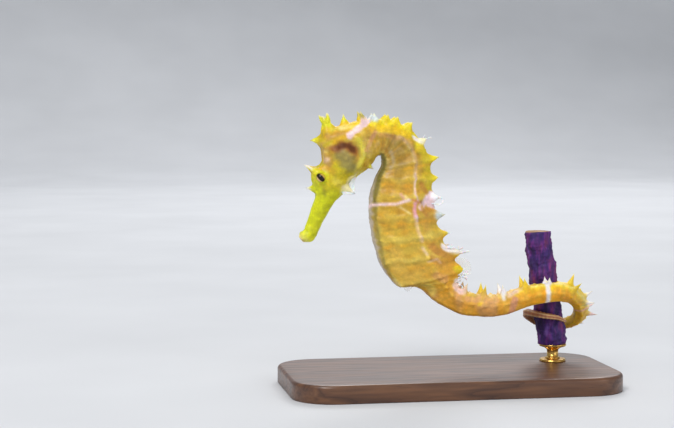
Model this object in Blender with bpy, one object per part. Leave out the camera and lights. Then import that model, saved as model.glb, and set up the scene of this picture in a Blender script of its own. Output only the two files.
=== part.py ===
"""A life-size yellow seahorse that grips a cut length of branch on a display stand.

Run it with:  blender --background --python part.py

X runs from the snout to the gripping tail, Z is up, and -Y is the animal's left side.
The origin is the middle of the stand's underside. Sizes below are in millimetres, and
make_object turns them to metres. Each named object is one closed piece, and neighbours
keep the thin gap CUT between them.
"""

import math

import bmesh
import bpy
import numpy as np

MM = 0.001
CUT = 0.3  # gap between neighbouring pieces

# Stand
BASE_LENGTH = 74.0
BASE_DEPTH = 38.0
BASE_HEIGHT = 4.0
BASE_CORNER = 9.0
BASE_EDGE = 0.8
ROD_RADIUS = 1.3
ROD_FOOT_RADIUS = 3.0
ROD_CUP_RADIUS = 3.1
ROD_CUP_HEIGHT = 1.4

# Perch: a leaning, knobbly cut length of branch
PERCH_BOTTOM = 8.0
PERCH_TOP = 34.0
PERCH_LEAN = math.radians(8.8)
PERCH_X = 24.3  # where its axis passes at the height PERCH_MIDDLE
PERCH_Y = 6.0
PERCH_MIDDLE = 20.4
PERCH_RADIUS_TOP = 3.0
PERCH_RADIUS_BOTTOM = 3.45
PERCH_SIDES = 14
PERCH_ROWS = 14

# Cross-sections of the body, from mouth to tail base. Each has the place of its back
# (or forehead) edge, the place of its belly (or throat) edge, and half its width.
BODY = (
    # name          back x  back z  belly x belly z width
    ("mouth", -33.6, 34.3, -32.6, 32.8, 0.9),
    ("lips", -33.4, 35.0, -30.8, 33.0, 1.4),
    ("snout_end", -32.7, 35.6, -29.8, 34.0, 1.55),
    ("snout_waist", -32.1, 36.8, -29.2, 35.5, 1.35),
    ("snout_middle", -31.4, 38.9, -28.0, 37.8, 1.5),
    ("snout_base", -30.7, 41.2, -26.5, 39.8, 1.8),
    ("cheek", -30.1, 43.2, -24.7, 42.0, 2.4),
    ("below_eye", -30.4, 45.1, -23.2, 43.9, 3.0),
    ("eye", -30.6, 47.0, -22.0, 45.5, 3.4),
    ("brow", -30.1, 48.7, -21.0, 46.8, 3.6),
    ("temple", -28.8, 50.3, -19.7, 47.8, 3.8),
    ("forehead", -28.7, 52.1, -18.8, 48.5, 4.0),
    ("crown", -29.1, 54.9, -17.9, 49.3, 4.1),
    ("coronet", -28.9, 57.4, -17.2, 50.0, 3.9),
    ("nape", -25.8, 58.3, -16.8, 50.5, 3.5),
    ("nape_rear", -22.5, 59.1, -16.5, 51.0, 3.3),
    ("shoulder", -19.7, 59.8, -16.2, 51.4, 3.2),
    ("ring_1", -17.1, 59.9, -15.85, 51.6, 3.2),
    ("ring_2", -13.3, 59.6, -15.5, 51.35, 3.3),
    ("ring_3", -9.4, 58.1, -15.4, 50.8, 3.5),
    ("ring_4", -6.3, 55.0, -15.4, 50.0, 3.7),
    ("ring_5", -4.5, 51.0, -15.8, 48.7, 4.1),
    ("ring_6", -3.9, 46.8, -17.0, 46.6, 4.5),
    ("ring_7", -3.5, 42.5, -18.1, 42.5, 4.8),
    ("ring_8", -2.9, 38.6, -18.1, 37.8, 4.9),
    ("ring_9", -1.7, 34.5, -17.3, 32.9, 5.0),
    ("ring_10", 0.7, 30.1, -15.6, 27.7, 4.8),
    ("ring_11", 2.8, 26.2, -11.3, 22.6, 4.2),
    ("anal_ring", 1.8, 24.4, -7.9, 23.3, 3.5),
    ("tail_root", 1.9, 23.1, -5.8, 21.6, 3.3),
    ("tail_bend", 3.2, 21.8, -3.1, 19.0, 3.1),
)

# The free tail between its bend and the branch: middle x, middle z, half depth, half width.
FREE_TAIL = (
    (3.1, 18.9, 3.0, 2.9),
    (6.4, 18.2, 2.85, 2.8),
    (9.8, 17.9, 2.75, 2.7),
    (13.0, 18.3, 2.7, 2.6),
    (16.2, 19.3, 2.65, 2.55),
    (19.2, 20.1, 2.55, 2.5),
)

# The grip: turn about the branch from its front, height on the branch's axis, distance
# from the axis, and the tail's radius there.
GRIP = (
    (0, 20.7, 6.05, 2.45),
    (30, 20.0, 6.25, 2.35),
    (55, 18.4, 6.9, 2.15),
    (75, 16.2, 7.5, 1.95),
    (95, 13.7, 7.8, 1.8),
    (115, 11.9, 7.7, 1.65),
    (140, 11.1, 6.9, 1.5),
    (170, 11.6, 5.7, 1.35),
    (205, 13.3, 5.1, 1.2),
    (240, 15.1, 4.9, 1.05),
    (270, 16.1, 4.8, 0.95),
    (300, 16.0, 4.7, 0.88),
    (335, 15.3, 4.6, 0.8),
    (370, 14.4, 4.5, 0.65),
    (400, 13.1, 4.3, 0.42),
)

# Ridge corners of a cross-section on one side: (towards the back, out to the side) in
# half depths and half widths, for the head, the trunk and the tail.
HEAD_CORNERS = ((-1.0, 0.0), (-0.72, 0.6), (0.1, 1.0), (0.86, 0.45))
TRUNK_CORNERS = ((-1.0, 0.0), (-0.8, 0.55), (0.28, 1.0), (0.96, 0.46))
TAIL_CORNERS = ((-0.93, 0.0), (-0.86, 0.6), (0.0, 0.95), (0.9, 0.6))
KEEL, INFERIOR, LATERAL, SUPERIOR = range(4)
HEAD_BULGE = 0.09  # how far a panel between ridges swells, as a share of its radius
TRUNK_BULGE = -0.05
TAIL_BULGE = -0.03
RIDGE_HALF = 0.09  # half the width of a ridge's crest
BAND_HALF = 0.2  # half the length of a raised ring, as a share of the ring spacing
GROOVE = 0.93  # size of the body between two rings
KEEL_GROOVE = 0.99  # and of its smooth keel

# Heights of the spines on the back ridges, one for each trunk ring from the shoulder on
BACK_SPINES = (2.4, 1.6, 1.5, 1.7, 1.9, 2.4, 1.6, 1.6, 2.2, 2.0, 2.8, 0.7)
SPINE_SPLAY = 0.45  # how far the two sides' spines open from each other
SIDE_SPINE = 0.7
BELLY_SPINE = 0.5
TAIL_RING_START = 2.9  # from the tail's root to its first ring
TAIL_RING_SPACING = 1.06  # in tail radii
TAIL_RING_LONGEST = 2.65
TAIL_SPINES = {1: 2.2, 3: 2.9, 4: 0.6, 5: 2.6, 7: 2.8, 9: 1.6, 11: 2.6, 13: 2.1, 15: 2.3, 17: 1.0}
TAIL_LENGTHS = (  # each length of tail, and the last ring on it
    ("tail_base", 3),
    ("tail_middle", 8),
    ("tail_grip_front", 12),
    ("tail_grip_side", 17),
    ("tail_grip_back", 25),
    ("tail_tip", None),
)
TAIL_KNOB = 0.35  # height of the knobs on the other tail rings
LAST_GROOVED_RING = 22  # the thin end of the tail has no grooves in the solids

# Spines of the head: base, tip and base radius. y is for the left one of a pair.
HEAD_SPINES = (
    ((-29.4, 0.0, 44.4), (-32.3, 0.0, 44.7), 0.75),  # nose
    ((-29.2, -1.9, 48.0), (-32.3, -2.1, 49.8), 0.85),  # above the eye
    ((-28.2, 0.0, 55.0), (-31.2, 0.0, 55.1), 0.9),  # forehead
    ((-23.6, 0.0, 58.2), (-23.8, 0.0, 60.9), 0.8),  # nape
    ((-24.6, -1.2, 45.4), (-21.3, -1.8, 43.3), 0.9),  # cheek
    ((-19.6, -1.0, 50.8), (-17.3, -1.3, 48.7), 0.7),  # throat
)
CROWN_BASE = (-27.1, 0.0, 57.2)
CROWN_AXIS = (-0.30, 0.0, 0.954)
CROWN_RADIUS = 1.75
CROWN_HEIGHT = 3.3
CROWN_NOTCH = 2.2

# Eyes
EYE_RADIUS = 1.3
EYE_PLACE = (-29.1, -2.05, 47.0)

# Fins: the two ends of the root line, and the first and last ray. The pectoral fin's y is
# for the side it is on.
FIN_THICKNESS = 0.5
PECTORAL_ROOTS = ((-20.7, 4.2, 55.2), (-20.3, 4.2, 51.9))
PECTORAL_RAYS = ((2.6, 0.95, 0.9), (2.6, 0.95, -1.0))
DORSAL_ROOTS = ((2.5, 0.0, 28.9), (3.4, 0.0, 26.2))
DORSAL_RAYS = ((3.3, 0.0, -0.6), (2.9, 0.0, -1.2))
ANAL_ROOTS = ((-10.2, 0.0, 22.2), (-8.6, 0.0, 22.7))
ANAL_RAYS = ((-0.2, 0.0, -1.5), (0.6, 0.0, -1.4))

# Colours, as linear red, green and blue
YELLOW = (0.60, 0.50, 0.03)
OCHRE = (0.52, 0.36, 0.07)
ORANGE = (0.68, 0.36, 0.05)
FIN_CLEAR = (0.80, 0.74, 0.40)
EYE_DARK = (0.02, 0.008, 0.004)
BARK = (0.06, 0.015, 0.07)
BRASS = (0.60, 0.42, 0.16)
WALNUT = (0.05, 0.022, 0.010)


def clear_scene():
    for old in list(bpy.data.objects):
        bpy.data.objects.remove(old)


def make_material(name, colour, roughness, metallic=0.0):
    material = bpy.data.materials.new(name)
    material.use_nodes = True
    shader = material.node_tree.nodes["Principled BSDF"]
    shader.inputs["Base Color"].default_value = (*colour, 1.0)
    shader.inputs["Roughness"].default_value = roughness
    shader.inputs["Metallic"].default_value = metallic
    return material


def make_object(name, points, faces, material=None):
    """A mesh object from points in millimetres, with its faces turned outwards."""
    mesh = bpy.data.meshes.new(name)
    mesh.from_pydata([tuple(float(c) * MM for c in p) for p in points], [], faces)
    work = bmesh.new()
    work.from_mesh(mesh)
    bmesh.ops.recalc_face_normals(work, faces=work.faces)
    work.to_mesh(mesh)
    work.free()
    thing = bpy.data.objects.new(name, mesh)
    bpy.context.scene.collection.objects.link(thing)
    if material is not None:
        mesh.materials.append(material)
    return thing


def make_helper(name, points, faces):
    """A hidden object that only a Boolean uses."""
    helper = make_object(name, points, faces)
    helper.hide_render = True
    helper.display_type = "WIRE"
    return helper


def add_boolean(thing, helper, operation):
    boolean = thing.modifiers.new(operation.lower(), "BOOLEAN")
    boolean.operation = operation
    boolean.solver = "EXACT"
    boolean.object = helper


def unit(vector):
    return vector / np.linalg.norm(vector)


def blend(a, b, share):
    return np.asarray(a, float) * (1.0 - share) + np.asarray(b, float) * share


def smooth_step(low, high, value):
    """0 at low, 1 at high, and an easy curve between them. low may be above high."""
    share = min(1.0, max(0.0, (value - low) / (high - low)))
    return share * share * (3.0 - 2.0 * share)


def curve_at(values, place):
    """The smooth curve through evenly numbered values, read at a place between them."""
    last = len(values) - 1
    i = min(max(int(math.floor(place)), 0), last - 1)
    t = place - i
    p0, p1, p2, p3 = (values[min(max(k, 0), last)] for k in range(i - 1, i + 3))
    return 0.5 * (
        2.0 * p1
        + (p2 - p0) * t
        + (2.0 * p0 - 5.0 * p1 + 4.0 * p2 - p3) * t**2
        + (3.0 * p1 - p0 - 3.0 * p2 + p3) * t**3
    )


# ---------------------------------------------------------------- the body's sections


def perch_axis(height):
    """The point of the branch's axis at a height."""
    return np.array(
        (PERCH_X - math.tan(PERCH_LEAN) * (height - PERCH_MIDDLE), PERCH_Y, height)
    )


def grip_point(turn, height, distance):
    """A point beside the branch, at a turn in degrees from its front."""
    right = np.array((math.cos(PERCH_LEAN), 0.0, math.sin(PERCH_LEAN)))
    front = np.array((0.0, -1.0, 0.0))
    angle = math.radians(turn)
    return perch_axis(height) + distance * (math.sin(angle) * right + math.cos(angle) * front)


def tail_frames():
    """Middle, back and side vectors of the free tail and of its grip on the branch."""
    middles = [np.array((x, 0.0, z)) for x, z, _, _ in FREE_TAIL]
    sizes = [(depth, width) for _, _, depth, width in FREE_TAIL]
    backs = [np.array((0.0, 0.0, 1.0)) for _ in FREE_TAIL]
    for turn, height, distance, radius in GRIP:
        middle = grip_point(turn, height, distance)
        outward = unit(middle - perch_axis(middle[2]))
        roll = math.radians(90.0) * smooth_step(0.0, 90.0, turn)
        middles.append(middle)
        sizes.append((radius, radius))
        backs.append(math.cos(roll) * np.array((0.0, 0.0, 1.0)) + math.sin(roll) * outward)
    frames = []
    for i, (middle, back, size) in enumerate(zip(middles, backs, sizes)):
        ahead = unit(middles[min(i + 1, len(middles) - 1)] - middles[max(i - 1, 0)])
        back = unit(back - ahead * float(back @ ahead))
        side = unit(np.cross(ahead, back))
        frames.append((middle, back * size[0], side * size[1]))
    return frames


def body_frames():
    """Middle, back and side vectors of every section, from the mouth to the tail's tip."""
    frames = []
    for _, back_x, back_z, belly_x, belly_z, width in BODY:
        back = np.array((back_x, 0.0, back_z))
        belly = np.array((belly_x, 0.0, belly_z))
        side = np.array((0.0, -width, 0.0))
        frames.append(((back + belly) / 2, (back - belly) / 2, side))
    return frames + tail_frames()


FRAMES = body_frames()
MIDDLES = [f[0] for f in FRAMES]
BACKS = [f[1] for f in FRAMES]
SIDES = [f[2] for f in FRAMES]
PLACES = {row[0]: i for i, row in enumerate(BODY)}
TAIL_START = PLACES["tail_root"]
TAIL_END = len(FRAMES) - 1


def frame_at(place):
    """Middle, back vector and side vector of the section at a place along the body."""
    return curve_at(MIDDLES, place), curve_at(BACKS, place), curve_at(SIDES, place)


def section_normal(place):
    """The direction square to a section, towards the tail."""
    _, back, side = frame_at(place)
    return unit(np.cross(back, side))


def full_corners(corners):
    """All seven ridge corners in order round the body, with the ridge that each is on."""
    left = [(ridge, back, side) for ridge, (back, side) in enumerate(corners)]
    right = [(ridge, back, -side) for ridge, back, side in reversed(left[1:])]
    return left + right


def columns_of(corners, bulge, split_ridges):
    """Points round a section, and for each split ridge the columns its crest starts at."""
    ring = full_corners(corners)
    points, crests = [], []
    for i, (ridge, back, side) in enumerate(ring):
        here = np.array((back, side))
        before = np.array(ring[i - 1][1:])
        after = np.array(ring[(i + 1) % len(ring)][1:])
        if ridge in split_ridges:
            crests.append((ridge, 1 if side > 0 else -1, len(points)))
            points.append(here + unit(before - here) * RIDGE_HALF)
            points.append(here + unit(after - here) * RIDGE_HALF)
        else:
            points.append(here)
        narrow = np.linalg.norm(after - here) < 0.7
        if not narrow:
            points.append((here + after) / 2 * (1.0 + bulge))
    return np.array(points), crests


TRUNK_RIDGES = (INFERIOR, LATERAL, SUPERIOR)
TAIL_RIDGES = (SUPERIOR,)


def trunk_columns(place):
    """The columns of a head, neck or trunk section: round on the head, ridged behind it."""
    share = smooth_step(PLACES["crown"], PLACES["ring_2"], place)
    corners = blend(HEAD_CORNERS, TRUNK_CORNERS, share)
    return columns_of(corners, HEAD_BULGE + (TRUNK_BULGE - HEAD_BULGE) * share, TRUNK_RIDGES)


def tail_columns(place):
    """The columns of a tail section, four-sided, which start out from the trunk's shape."""
    share = smooth_step(PLACES["anal_ring"], TAIL_START + 3, place)
    corners = blend(TRUNK_CORNERS, TAIL_CORNERS, share)
    return columns_of(corners, TAIL_BULGE, TAIL_RIDGES)


def section_points(place, columns, size=1.0):
    middle, back, side = frame_at(place)
    points = []
    for a, b in columns:
        on_keel = smooth_step(-0.5, -0.9, a)
        scale = size + (max(size, KEEL_GROOVE) - size) * on_keel
        points.append(middle + scale * (a * back + b * side))
    return np.array(points)


# ---------------------------------------------------------------- lofts


def loft(rows, spikes):
    """Points and faces of a closed loft. spikes gives, for (row, column) of a face, the
    tip of a four-sided spine that stands on that face."""
    count = len(rows[0])
    points = [p for row in rows for p in row]
    faces = []
    for r in range(len(rows) - 1):
        for c in range(count):
            d = (c + 1) % count
            quad = (r * count + c, r * count + d, (r + 1) * count + d, (r + 1) * count + c)
            if (r, c) in spikes:
                tip = len(points)
                points.append(spikes[(r, c)])
                faces += [(quad[k], quad[(k + 1) % 4], tip) for k in range(4)]
            else:
                faces.append(quad)
    for start, row in ((0, rows[0]), ((len(rows) - 1) * count, rows[-1])):
        middle = len(points)
        points.append(np.mean(row, axis=0))
        faces += [(start + c, start + (c + 1) % count, middle) for c in range(count)]
    return points, faces


def spine_tip(place, column, height):
    """The tip of a spine that stands on a ridge."""
    middle, back, side = frame_at(place)
    root = middle + column[0] * back + column[1] * side
    out = unit(column[0] * unit(back) + SPINE_SPLAY * column[1] * unit(side))
    return root + out * height


def body_length_table():
    """Fine places along the tail, and how far along the tail each lies."""
    places = np.linspace(TAIL_START, TAIL_END, 800)
    points = np.array([curve_at(MIDDLES, p) for p in places])
    steps = np.linalg.norm(np.diff(points, axis=0), axis=1)
    return places, np.concatenate(([0.0], np.cumsum(steps)))


def tail_rings():
    """The place of each tail ring. Their spacing shrinks with the tail's radius."""
    places, lengths = body_length_table()
    rings, along = [], TAIL_RING_START
    while along < lengths[-1] - 0.8:
        place = float(np.interp(along, lengths, places))
        rings.append(place)
        radius = float(np.linalg.norm(curve_at(BACKS, place)))
        along += min(TAIL_RING_LONGEST, TAIL_RING_SPACING * radius)
    return rings


def ring_rows(rings, first, last):
    """(place, size, ring number or None) of the rows between two cuts."""
    rows = []
    for k, ring in enumerate(rings):
        spacing = rings[k + 1] - ring if k + 1 < len(rings) else ring - rings[k - 1]
        if k > LAST_GROOVED_RING:
            rows.append((ring, 1.0, None))
            continue
        rows.append((ring - BAND_HALF * spacing, 1.0, k))
        rows.append((ring + BAND_HALF * spacing, 1.0, None))
        rows.append((ring + 0.5 * spacing, GROOVE, None))
    return [row for row in rows if first < row[0] < last]


def body_piece(name, rows, first, last, columns_at, height_of, material):
    """One length of the body between two cuts, as a closed loft with its spines."""
    start_columns, crests = columns_at(first)
    end_columns, _ = columns_at(last)
    start = section_points(first, start_columns, rows[0][1])
    end = section_points(last, end_columns, rows[-1][1])
    lofted = [start + section_normal(first) * CUT / 2]
    spikes = {}
    for i, (place, size, ring) in enumerate(rows):
        columns, _ = columns_at(place)
        lofted.append(section_points(place, columns, size))
        if ring is None or i + 1 >= len(rows):
            continue
        middle_place = (place + rows[i + 1][0]) / 2
        for ridge, side, column in crests:
            height = height_of(ring, ridge, side)
            if height > 0:
                crest = (columns[column] + columns[column + 1]) / 2
                spikes[(i + 1, column)] = spine_tip(middle_place, crest, height)
    lofted.append(end - section_normal(last) * CUT / 2)
    points, faces = loft(lofted, spikes)
    return make_object(name, points, faces, material)


# ---------------------------------------------------------------- head


def cone(base, tip, radius, sides=6):
    """Points and faces of a slender spine, a little waisted."""
    base, tip = np.array(base), np.array(tip)
    axis = unit(tip - base)
    across = unit(np.cross(axis, (0.13, 0.99, 0.05)))
    up = np.cross(axis, across)
    points, faces = [], []
    for share, size in ((0.0, 1.0), (0.5, 0.55)):
        for k in range(sides):
            angle = 2 * math.pi * k / sides
            spoke = math.cos(angle) * across + math.sin(angle) * up
            points.append(base + (tip - base) * share + radius * size * spoke)
    points.append(tip)
    for k in range(sides):
        n = (k + 1) % sides
        faces.append((k, n, sides + n, sides + k))
        faces.append((sides + k, sides + n, 2 * sides))
    faces.append(tuple(range(sides)))
    return points, faces


def crown():
    """The coronet: a short column that ends in five points with notches between them."""
    axis = unit(np.array(CROWN_AXIS))
    side = np.array((0.0, 1.0, 0.0))
    front = np.cross(axis, side)
    base = np.array(CROWN_BASE)
    points = []
    for level, radii in ((-1.0, (1.3, 1.3)), (None, (CROWN_RADIUS, 0.95))):
        for k in range(10):
            angle = math.pi * k / 5
            radius = radii[k % 2]
            rise = level if level is not None else (CROWN_HEIGHT, CROWN_NOTCH)[k % 2]
            spoke = math.cos(angle) * front + math.sin(angle) * side
            points.append(base + axis * rise + spoke * radius)
    points.append(base + axis * (CROWN_NOTCH - 0.5))
    faces = [tuple(range(10))]
    for k in range(10):
        n = (k + 1) % 10
        faces.append((k, n, 10 + n, 10 + k))
        faces.append((10 + k, 10 + n, 20))
    return points, faces


def join_shapes(shapes):
    """Several shapes' points and faces as one list of each."""
    points, faces = [], []
    for shape_points, shape_faces in shapes:
        shift = len(points)
        points += list(shape_points)
        faces += [tuple(i + shift for i in face) for face in shape_faces]
    return points, faces


def mirrored(point):
    return (point[0], -point[1], point[2])


def ball(centre, radius, rings=6, segments=12):
    """Points and faces of a sphere whose poles are left and right."""
    points, faces = [], []
    for r in range(1, rings):
        tilt = math.pi * r / rings
        for s in range(segments):
            turn = 2 * math.pi * s / segments
            offset = (math.sin(tilt) * math.cos(turn), math.cos(tilt), math.sin(tilt) * math.sin(turn))
            points.append(np.array(centre) + radius * np.array(offset))
    poles = len(points)
    points.append(np.array(centre) + np.array((0.0, radius, 0.0)))
    points.append(np.array(centre) - np.array((0.0, radius, 0.0)))
    for s in range(segments):
        n = (s + 1) % segments
        for r in range(rings - 2):
            low, high = r * segments, (r + 1) * segments
            faces.append((low + s, low + n, high + n, high + s))
        faces.append((s, n, poles))
        faces.append(((rings - 2) * segments + s, (rings - 2) * segments + n, poles + 1))
    return points, faces


def make_head(material):
    first, last = PLACES["cheek"] - 0.4, PLACES["nape_rear"] + 0.4
    rows = [(p, 1.0, None) for p in np.arange(PLACES["cheek"], PLACES["nape_rear"] + 0.1, 0.5)]
    head = body_piece("head", rows, first, last, trunk_columns, None, material)
    shapes = [crown()]
    for base, tip, radius in HEAD_SPINES:
        shapes.append(cone(base, tip, radius))
        if base[1] != 0.0:
            shapes.append(cone(mirrored(base), mirrored(tip), radius))
    add_boolean(head, make_helper("head_spines", *join_shapes(shapes)), "UNION")
    sockets = [ball(place, EYE_RADIUS + CUT) for place in (EYE_PLACE, mirrored(EYE_PLACE))]
    add_boolean(head, make_helper("eye_sockets", *join_shapes(sockets)), "DIFFERENCE")


def make_snout(material):
    rows = [(float(p), 1.0, None) for p in np.arange(0.5, PLACES["cheek"] - 0.5, 0.5)]
    last = PLACES["cheek"] - 0.4
    body_piece("snout", rows, 0.0, last, trunk_columns, None, material)


# ---------------------------------------------------------------- fins


def flat_fin(name, roots, rays, normal, material, count=7):
    """A plate between a root line and the tips of rays that swing from the first ray to
    the last. The rim is rounded, and each ray's tip stands a little proud of the web."""
    root_first, root_last = (np.array(p) for p in roots)
    ray_first, ray_last = (np.array(r) for r in rays)
    half = unit(np.array(normal)) * FIN_THICKNESS / 2
    root_line, tip_line = [], []
    for k in range(2 * count - 1):
        share = k / (2 * count - 2)
        root = blend(root_first, root_last, share)
        reach = (1.0 - 0.25 * (2 * share - 1) ** 2) * (1.0 if k % 2 == 0 else 0.93)
        root_line.append(root)
        tip_line.append(root + blend(ray_first, ray_last, share) * reach)
    rim = root_line + tip_line[::-1]
    total = len(rim)
    points = [p - half for p in rim] + [p + half for p in rim]
    faces = [(k, (k + 1) % total, total + (k + 1) % total, total + k) for k in range(total)]
    for k in range(len(root_line) - 1):
        quad = (k, k + 1, total - 2 - k, total - 1 - k)
        faces.append(quad)
        faces.append(tuple(i + total for i in quad))
    make_object(name, points, faces, material)


def make_fins(material):
    for name, side in (("pectoral_fin_left", -1.0), ("pectoral_fin_right", 1.0)):
        roots = [(x, side * y, z) for x, y, z in PECTORAL_ROOTS]
        rays = [(x, side * y, z) for x, y, z in PECTORAL_RAYS]
        normal = (PECTORAL_RAYS[0][1], -side * PECTORAL_RAYS[0][0], 0.0)
        flat_fin(name, roots, rays, normal, material)
    flat_fin("dorsal_fin", DORSAL_ROOTS, DORSAL_RAYS, (0.0, 1.0, 0.0), material)
    flat_fin("anal_fin", ANAL_ROOTS, ANAL_RAYS, (0.0, 1.0, 0.0), material, count=4)


# ---------------------------------------------------------------- perch and stand


def perch_radius(height, turn):
    """The branch's knobbly radius."""
    share = (height - PERCH_BOTTOM) / (PERCH_TOP - PERCH_BOTTOM)
    radius = PERCH_RADIUS_BOTTOM + (PERCH_RADIUS_TOP - PERCH_RADIUS_BOTTOM) * share
    knobs = 0.12 * math.sin(3 * turn + 0.9 * height) + 0.10 * math.sin(2 * turn - 1.7 * height)
    return radius * (0.98 + 0.3 * knobs)


def make_perch(material):
    rows = []
    for height in np.linspace(PERCH_BOTTOM, PERCH_TOP, PERCH_ROWS):
        row = []
        for k in range(PERCH_SIDES):
            turn = 2 * math.pi * k / PERCH_SIDES
            radius = perch_radius(height, turn)
            offset = (radius * math.cos(turn), radius * math.sin(turn), 0.0)
            row.append(perch_axis(height) + np.array(offset))
        rows.append(row)
    points, faces = loft(rows, {})
    make_object("perch", points, faces, material)


def make_rod(material):
    """A turned rod with a round foot and a shallow cup under the branch."""
    middle = perch_axis(PERCH_BOTTOM)
    low = BASE_HEIGHT + CUT
    high = PERCH_BOTTOM - CUT
    profile = (
        (low, ROD_FOOT_RADIUS),
        (low + 0.6, ROD_FOOT_RADIUS),
        (low + 1.1, ROD_RADIUS),
        (high - ROD_CUP_HEIGHT, ROD_RADIUS),
        (high - 0.5, ROD_CUP_RADIUS),
        (high, ROD_CUP_RADIUS),
    )
    sides = 20
    rows = []
    for height, radius in profile:
        turns = [2 * math.pi * k / sides for k in range(sides)]
        rows.append(
            [(middle[0] + radius * math.cos(t), middle[1] + radius * math.sin(t), height) for t in turns]
        )
    points, faces = loft(rows, {})
    rod = make_object("stand_rod", points, faces, material)
    rod.data.shade_smooth()
    rod.data.set_sharp_from_angle(angle=math.radians(35))


def make_base(material):
    """A flat plate with round corners and a softened upper edge."""
    outline = []
    corner_steps = 6
    for quarter, (sx, sy) in enumerate(((1, 1), (-1, 1), (-1, -1), (1, -1))):
        cx = sx * (BASE_LENGTH / 2 - BASE_CORNER)
        cy = sy * (BASE_DEPTH / 2 - BASE_CORNER)
        for step in range(corner_steps + 1):
            angle = math.pi / 2 * (quarter + step / corner_steps)
            outline.append((cx, cy, math.cos(angle), math.sin(angle)))
    rows = []
    levels = (
        (0.0, BASE_CORNER),
        (BASE_HEIGHT - BASE_EDGE, BASE_CORNER),
        (BASE_HEIGHT - 0.3 * BASE_EDGE, BASE_CORNER - 0.3 * BASE_EDGE),
        (BASE_HEIGHT, BASE_CORNER - BASE_EDGE),
    )
    for height, radius in levels:
        rows.append([(cx + radius * dx, cy + radius * dy, height) for cx, cy, dx, dy in outline])
    points, faces = loft(rows, {})
    make_object("stand_base", points, faces, material)


# ---------------------------------------------------------------- the whole model


def trunk_spine_height(ring, ridge, side):
    """Heights on rings that are numbered from the shoulder."""
    if ridge == SUPERIOR:
        return BACK_SPINES[ring]
    if ridge == LATERAL:
        return SIDE_SPINE if ring > 2 else 0.0
    return BELLY_SPINE if ring > 4 else 0.0


def tail_spine_height(ring, ridge, side):
    return TAIL_SPINES.get(ring, TAIL_KNOB)


def make_body():
    yellow = make_material("skin_yellow", YELLOW, 0.45)
    ochre = make_material("skin_ochre", OCHRE, 0.5)
    orange = make_material("skin_orange", ORANGE, 0.5)
    make_snout(yellow)
    make_head(yellow)
    trunk_rings = list(range(PLACES["shoulder"], PLACES["ring_11"] + 1))
    cuts = (
        ("neck", PLACES["nape_rear"] + 0.4, PLACES["ring_4"] + 0.5),
        ("trunk_upper", PLACES["ring_4"] + 0.5, PLACES["ring_8"] + 0.5),
        ("trunk_lower", PLACES["ring_8"] + 0.5, PLACES["anal_ring"] + 0.4),
    )
    for name, first, last in cuts:
        margin = 0.12
        rows = ring_rows(trunk_rings, first + margin, last - margin)
        body_piece(name, rows, first, last, trunk_columns, trunk_spine_height, ochre)
    rings = tail_rings()
    first = PLACES["anal_ring"] + 0.4
    for name, last_ring in TAIL_LENGTHS:
        last = TAIL_END if last_ring is None else (rings[last_ring] + rings[last_ring + 1]) / 2
        rows = ring_rows(rings, first + 0.08, last - 0.08)
        body_piece(name, rows, first, last, tail_columns, tail_spine_height, orange)
        first = last


def make_eyes():
    dark = make_material("eye_dark", EYE_DARK, 0.08)
    for name, place in (("eye_left", EYE_PLACE), ("eye_right", mirrored(EYE_PLACE))):
        points, faces = ball(place, EYE_RADIUS)
        eye = make_object(name, points, faces, dark)
        eye.data.shade_smooth()


def main():
    clear_scene()
    make_body()
    make_eyes()
    make_fins(make_material("fin_clear", FIN_CLEAR, 0.3))
    make_perch(make_material("branch_bark", BARK, 0.8))
    make_rod(make_material("stand_brass", BRASS, 0.3, 1.0))
    make_base(make_material("stand_walnut", WALNUT, 0.4))


main()
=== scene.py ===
"""Looks of the life-size seahorse that grips a branch on a display stand.

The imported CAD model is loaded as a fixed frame, and every piece here stands for some of
its nodes. All tables are in millimetres: X runs from the snout to the tail, Z is up, and
-Y is the animal's left side. make_mesh turns them to metres. The body's sections and the
perch have the CAD source's measures, and the finer forms have this script's own. A place
along the body is a section's number in BODY and the tail tables after it. A girth is a
place round the body: 0 on the belly's keel, 1 the inferior ridge, 2 the lateral ridge and
3 the superior ridge on the left, then 4, 5 and 6 back down the right.
"""

import math

import bmesh
import bpy
import numpy as np
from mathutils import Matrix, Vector


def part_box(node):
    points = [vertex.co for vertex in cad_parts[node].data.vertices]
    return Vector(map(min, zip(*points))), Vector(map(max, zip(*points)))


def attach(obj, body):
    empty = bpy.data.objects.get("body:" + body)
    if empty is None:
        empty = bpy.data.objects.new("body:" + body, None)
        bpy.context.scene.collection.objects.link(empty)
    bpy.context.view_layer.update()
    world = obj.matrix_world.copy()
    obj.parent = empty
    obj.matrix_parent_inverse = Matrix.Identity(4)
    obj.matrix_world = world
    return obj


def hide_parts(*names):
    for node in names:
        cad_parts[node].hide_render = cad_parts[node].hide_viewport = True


MM = 0.001
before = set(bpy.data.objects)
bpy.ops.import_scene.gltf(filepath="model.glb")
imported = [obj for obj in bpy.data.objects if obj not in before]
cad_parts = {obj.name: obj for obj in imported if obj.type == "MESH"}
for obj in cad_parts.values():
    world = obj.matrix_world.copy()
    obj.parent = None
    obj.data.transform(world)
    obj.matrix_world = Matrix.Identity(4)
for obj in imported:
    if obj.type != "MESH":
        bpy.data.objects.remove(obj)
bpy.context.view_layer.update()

# ---------------------------------------------------------------- the body's measures

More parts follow.
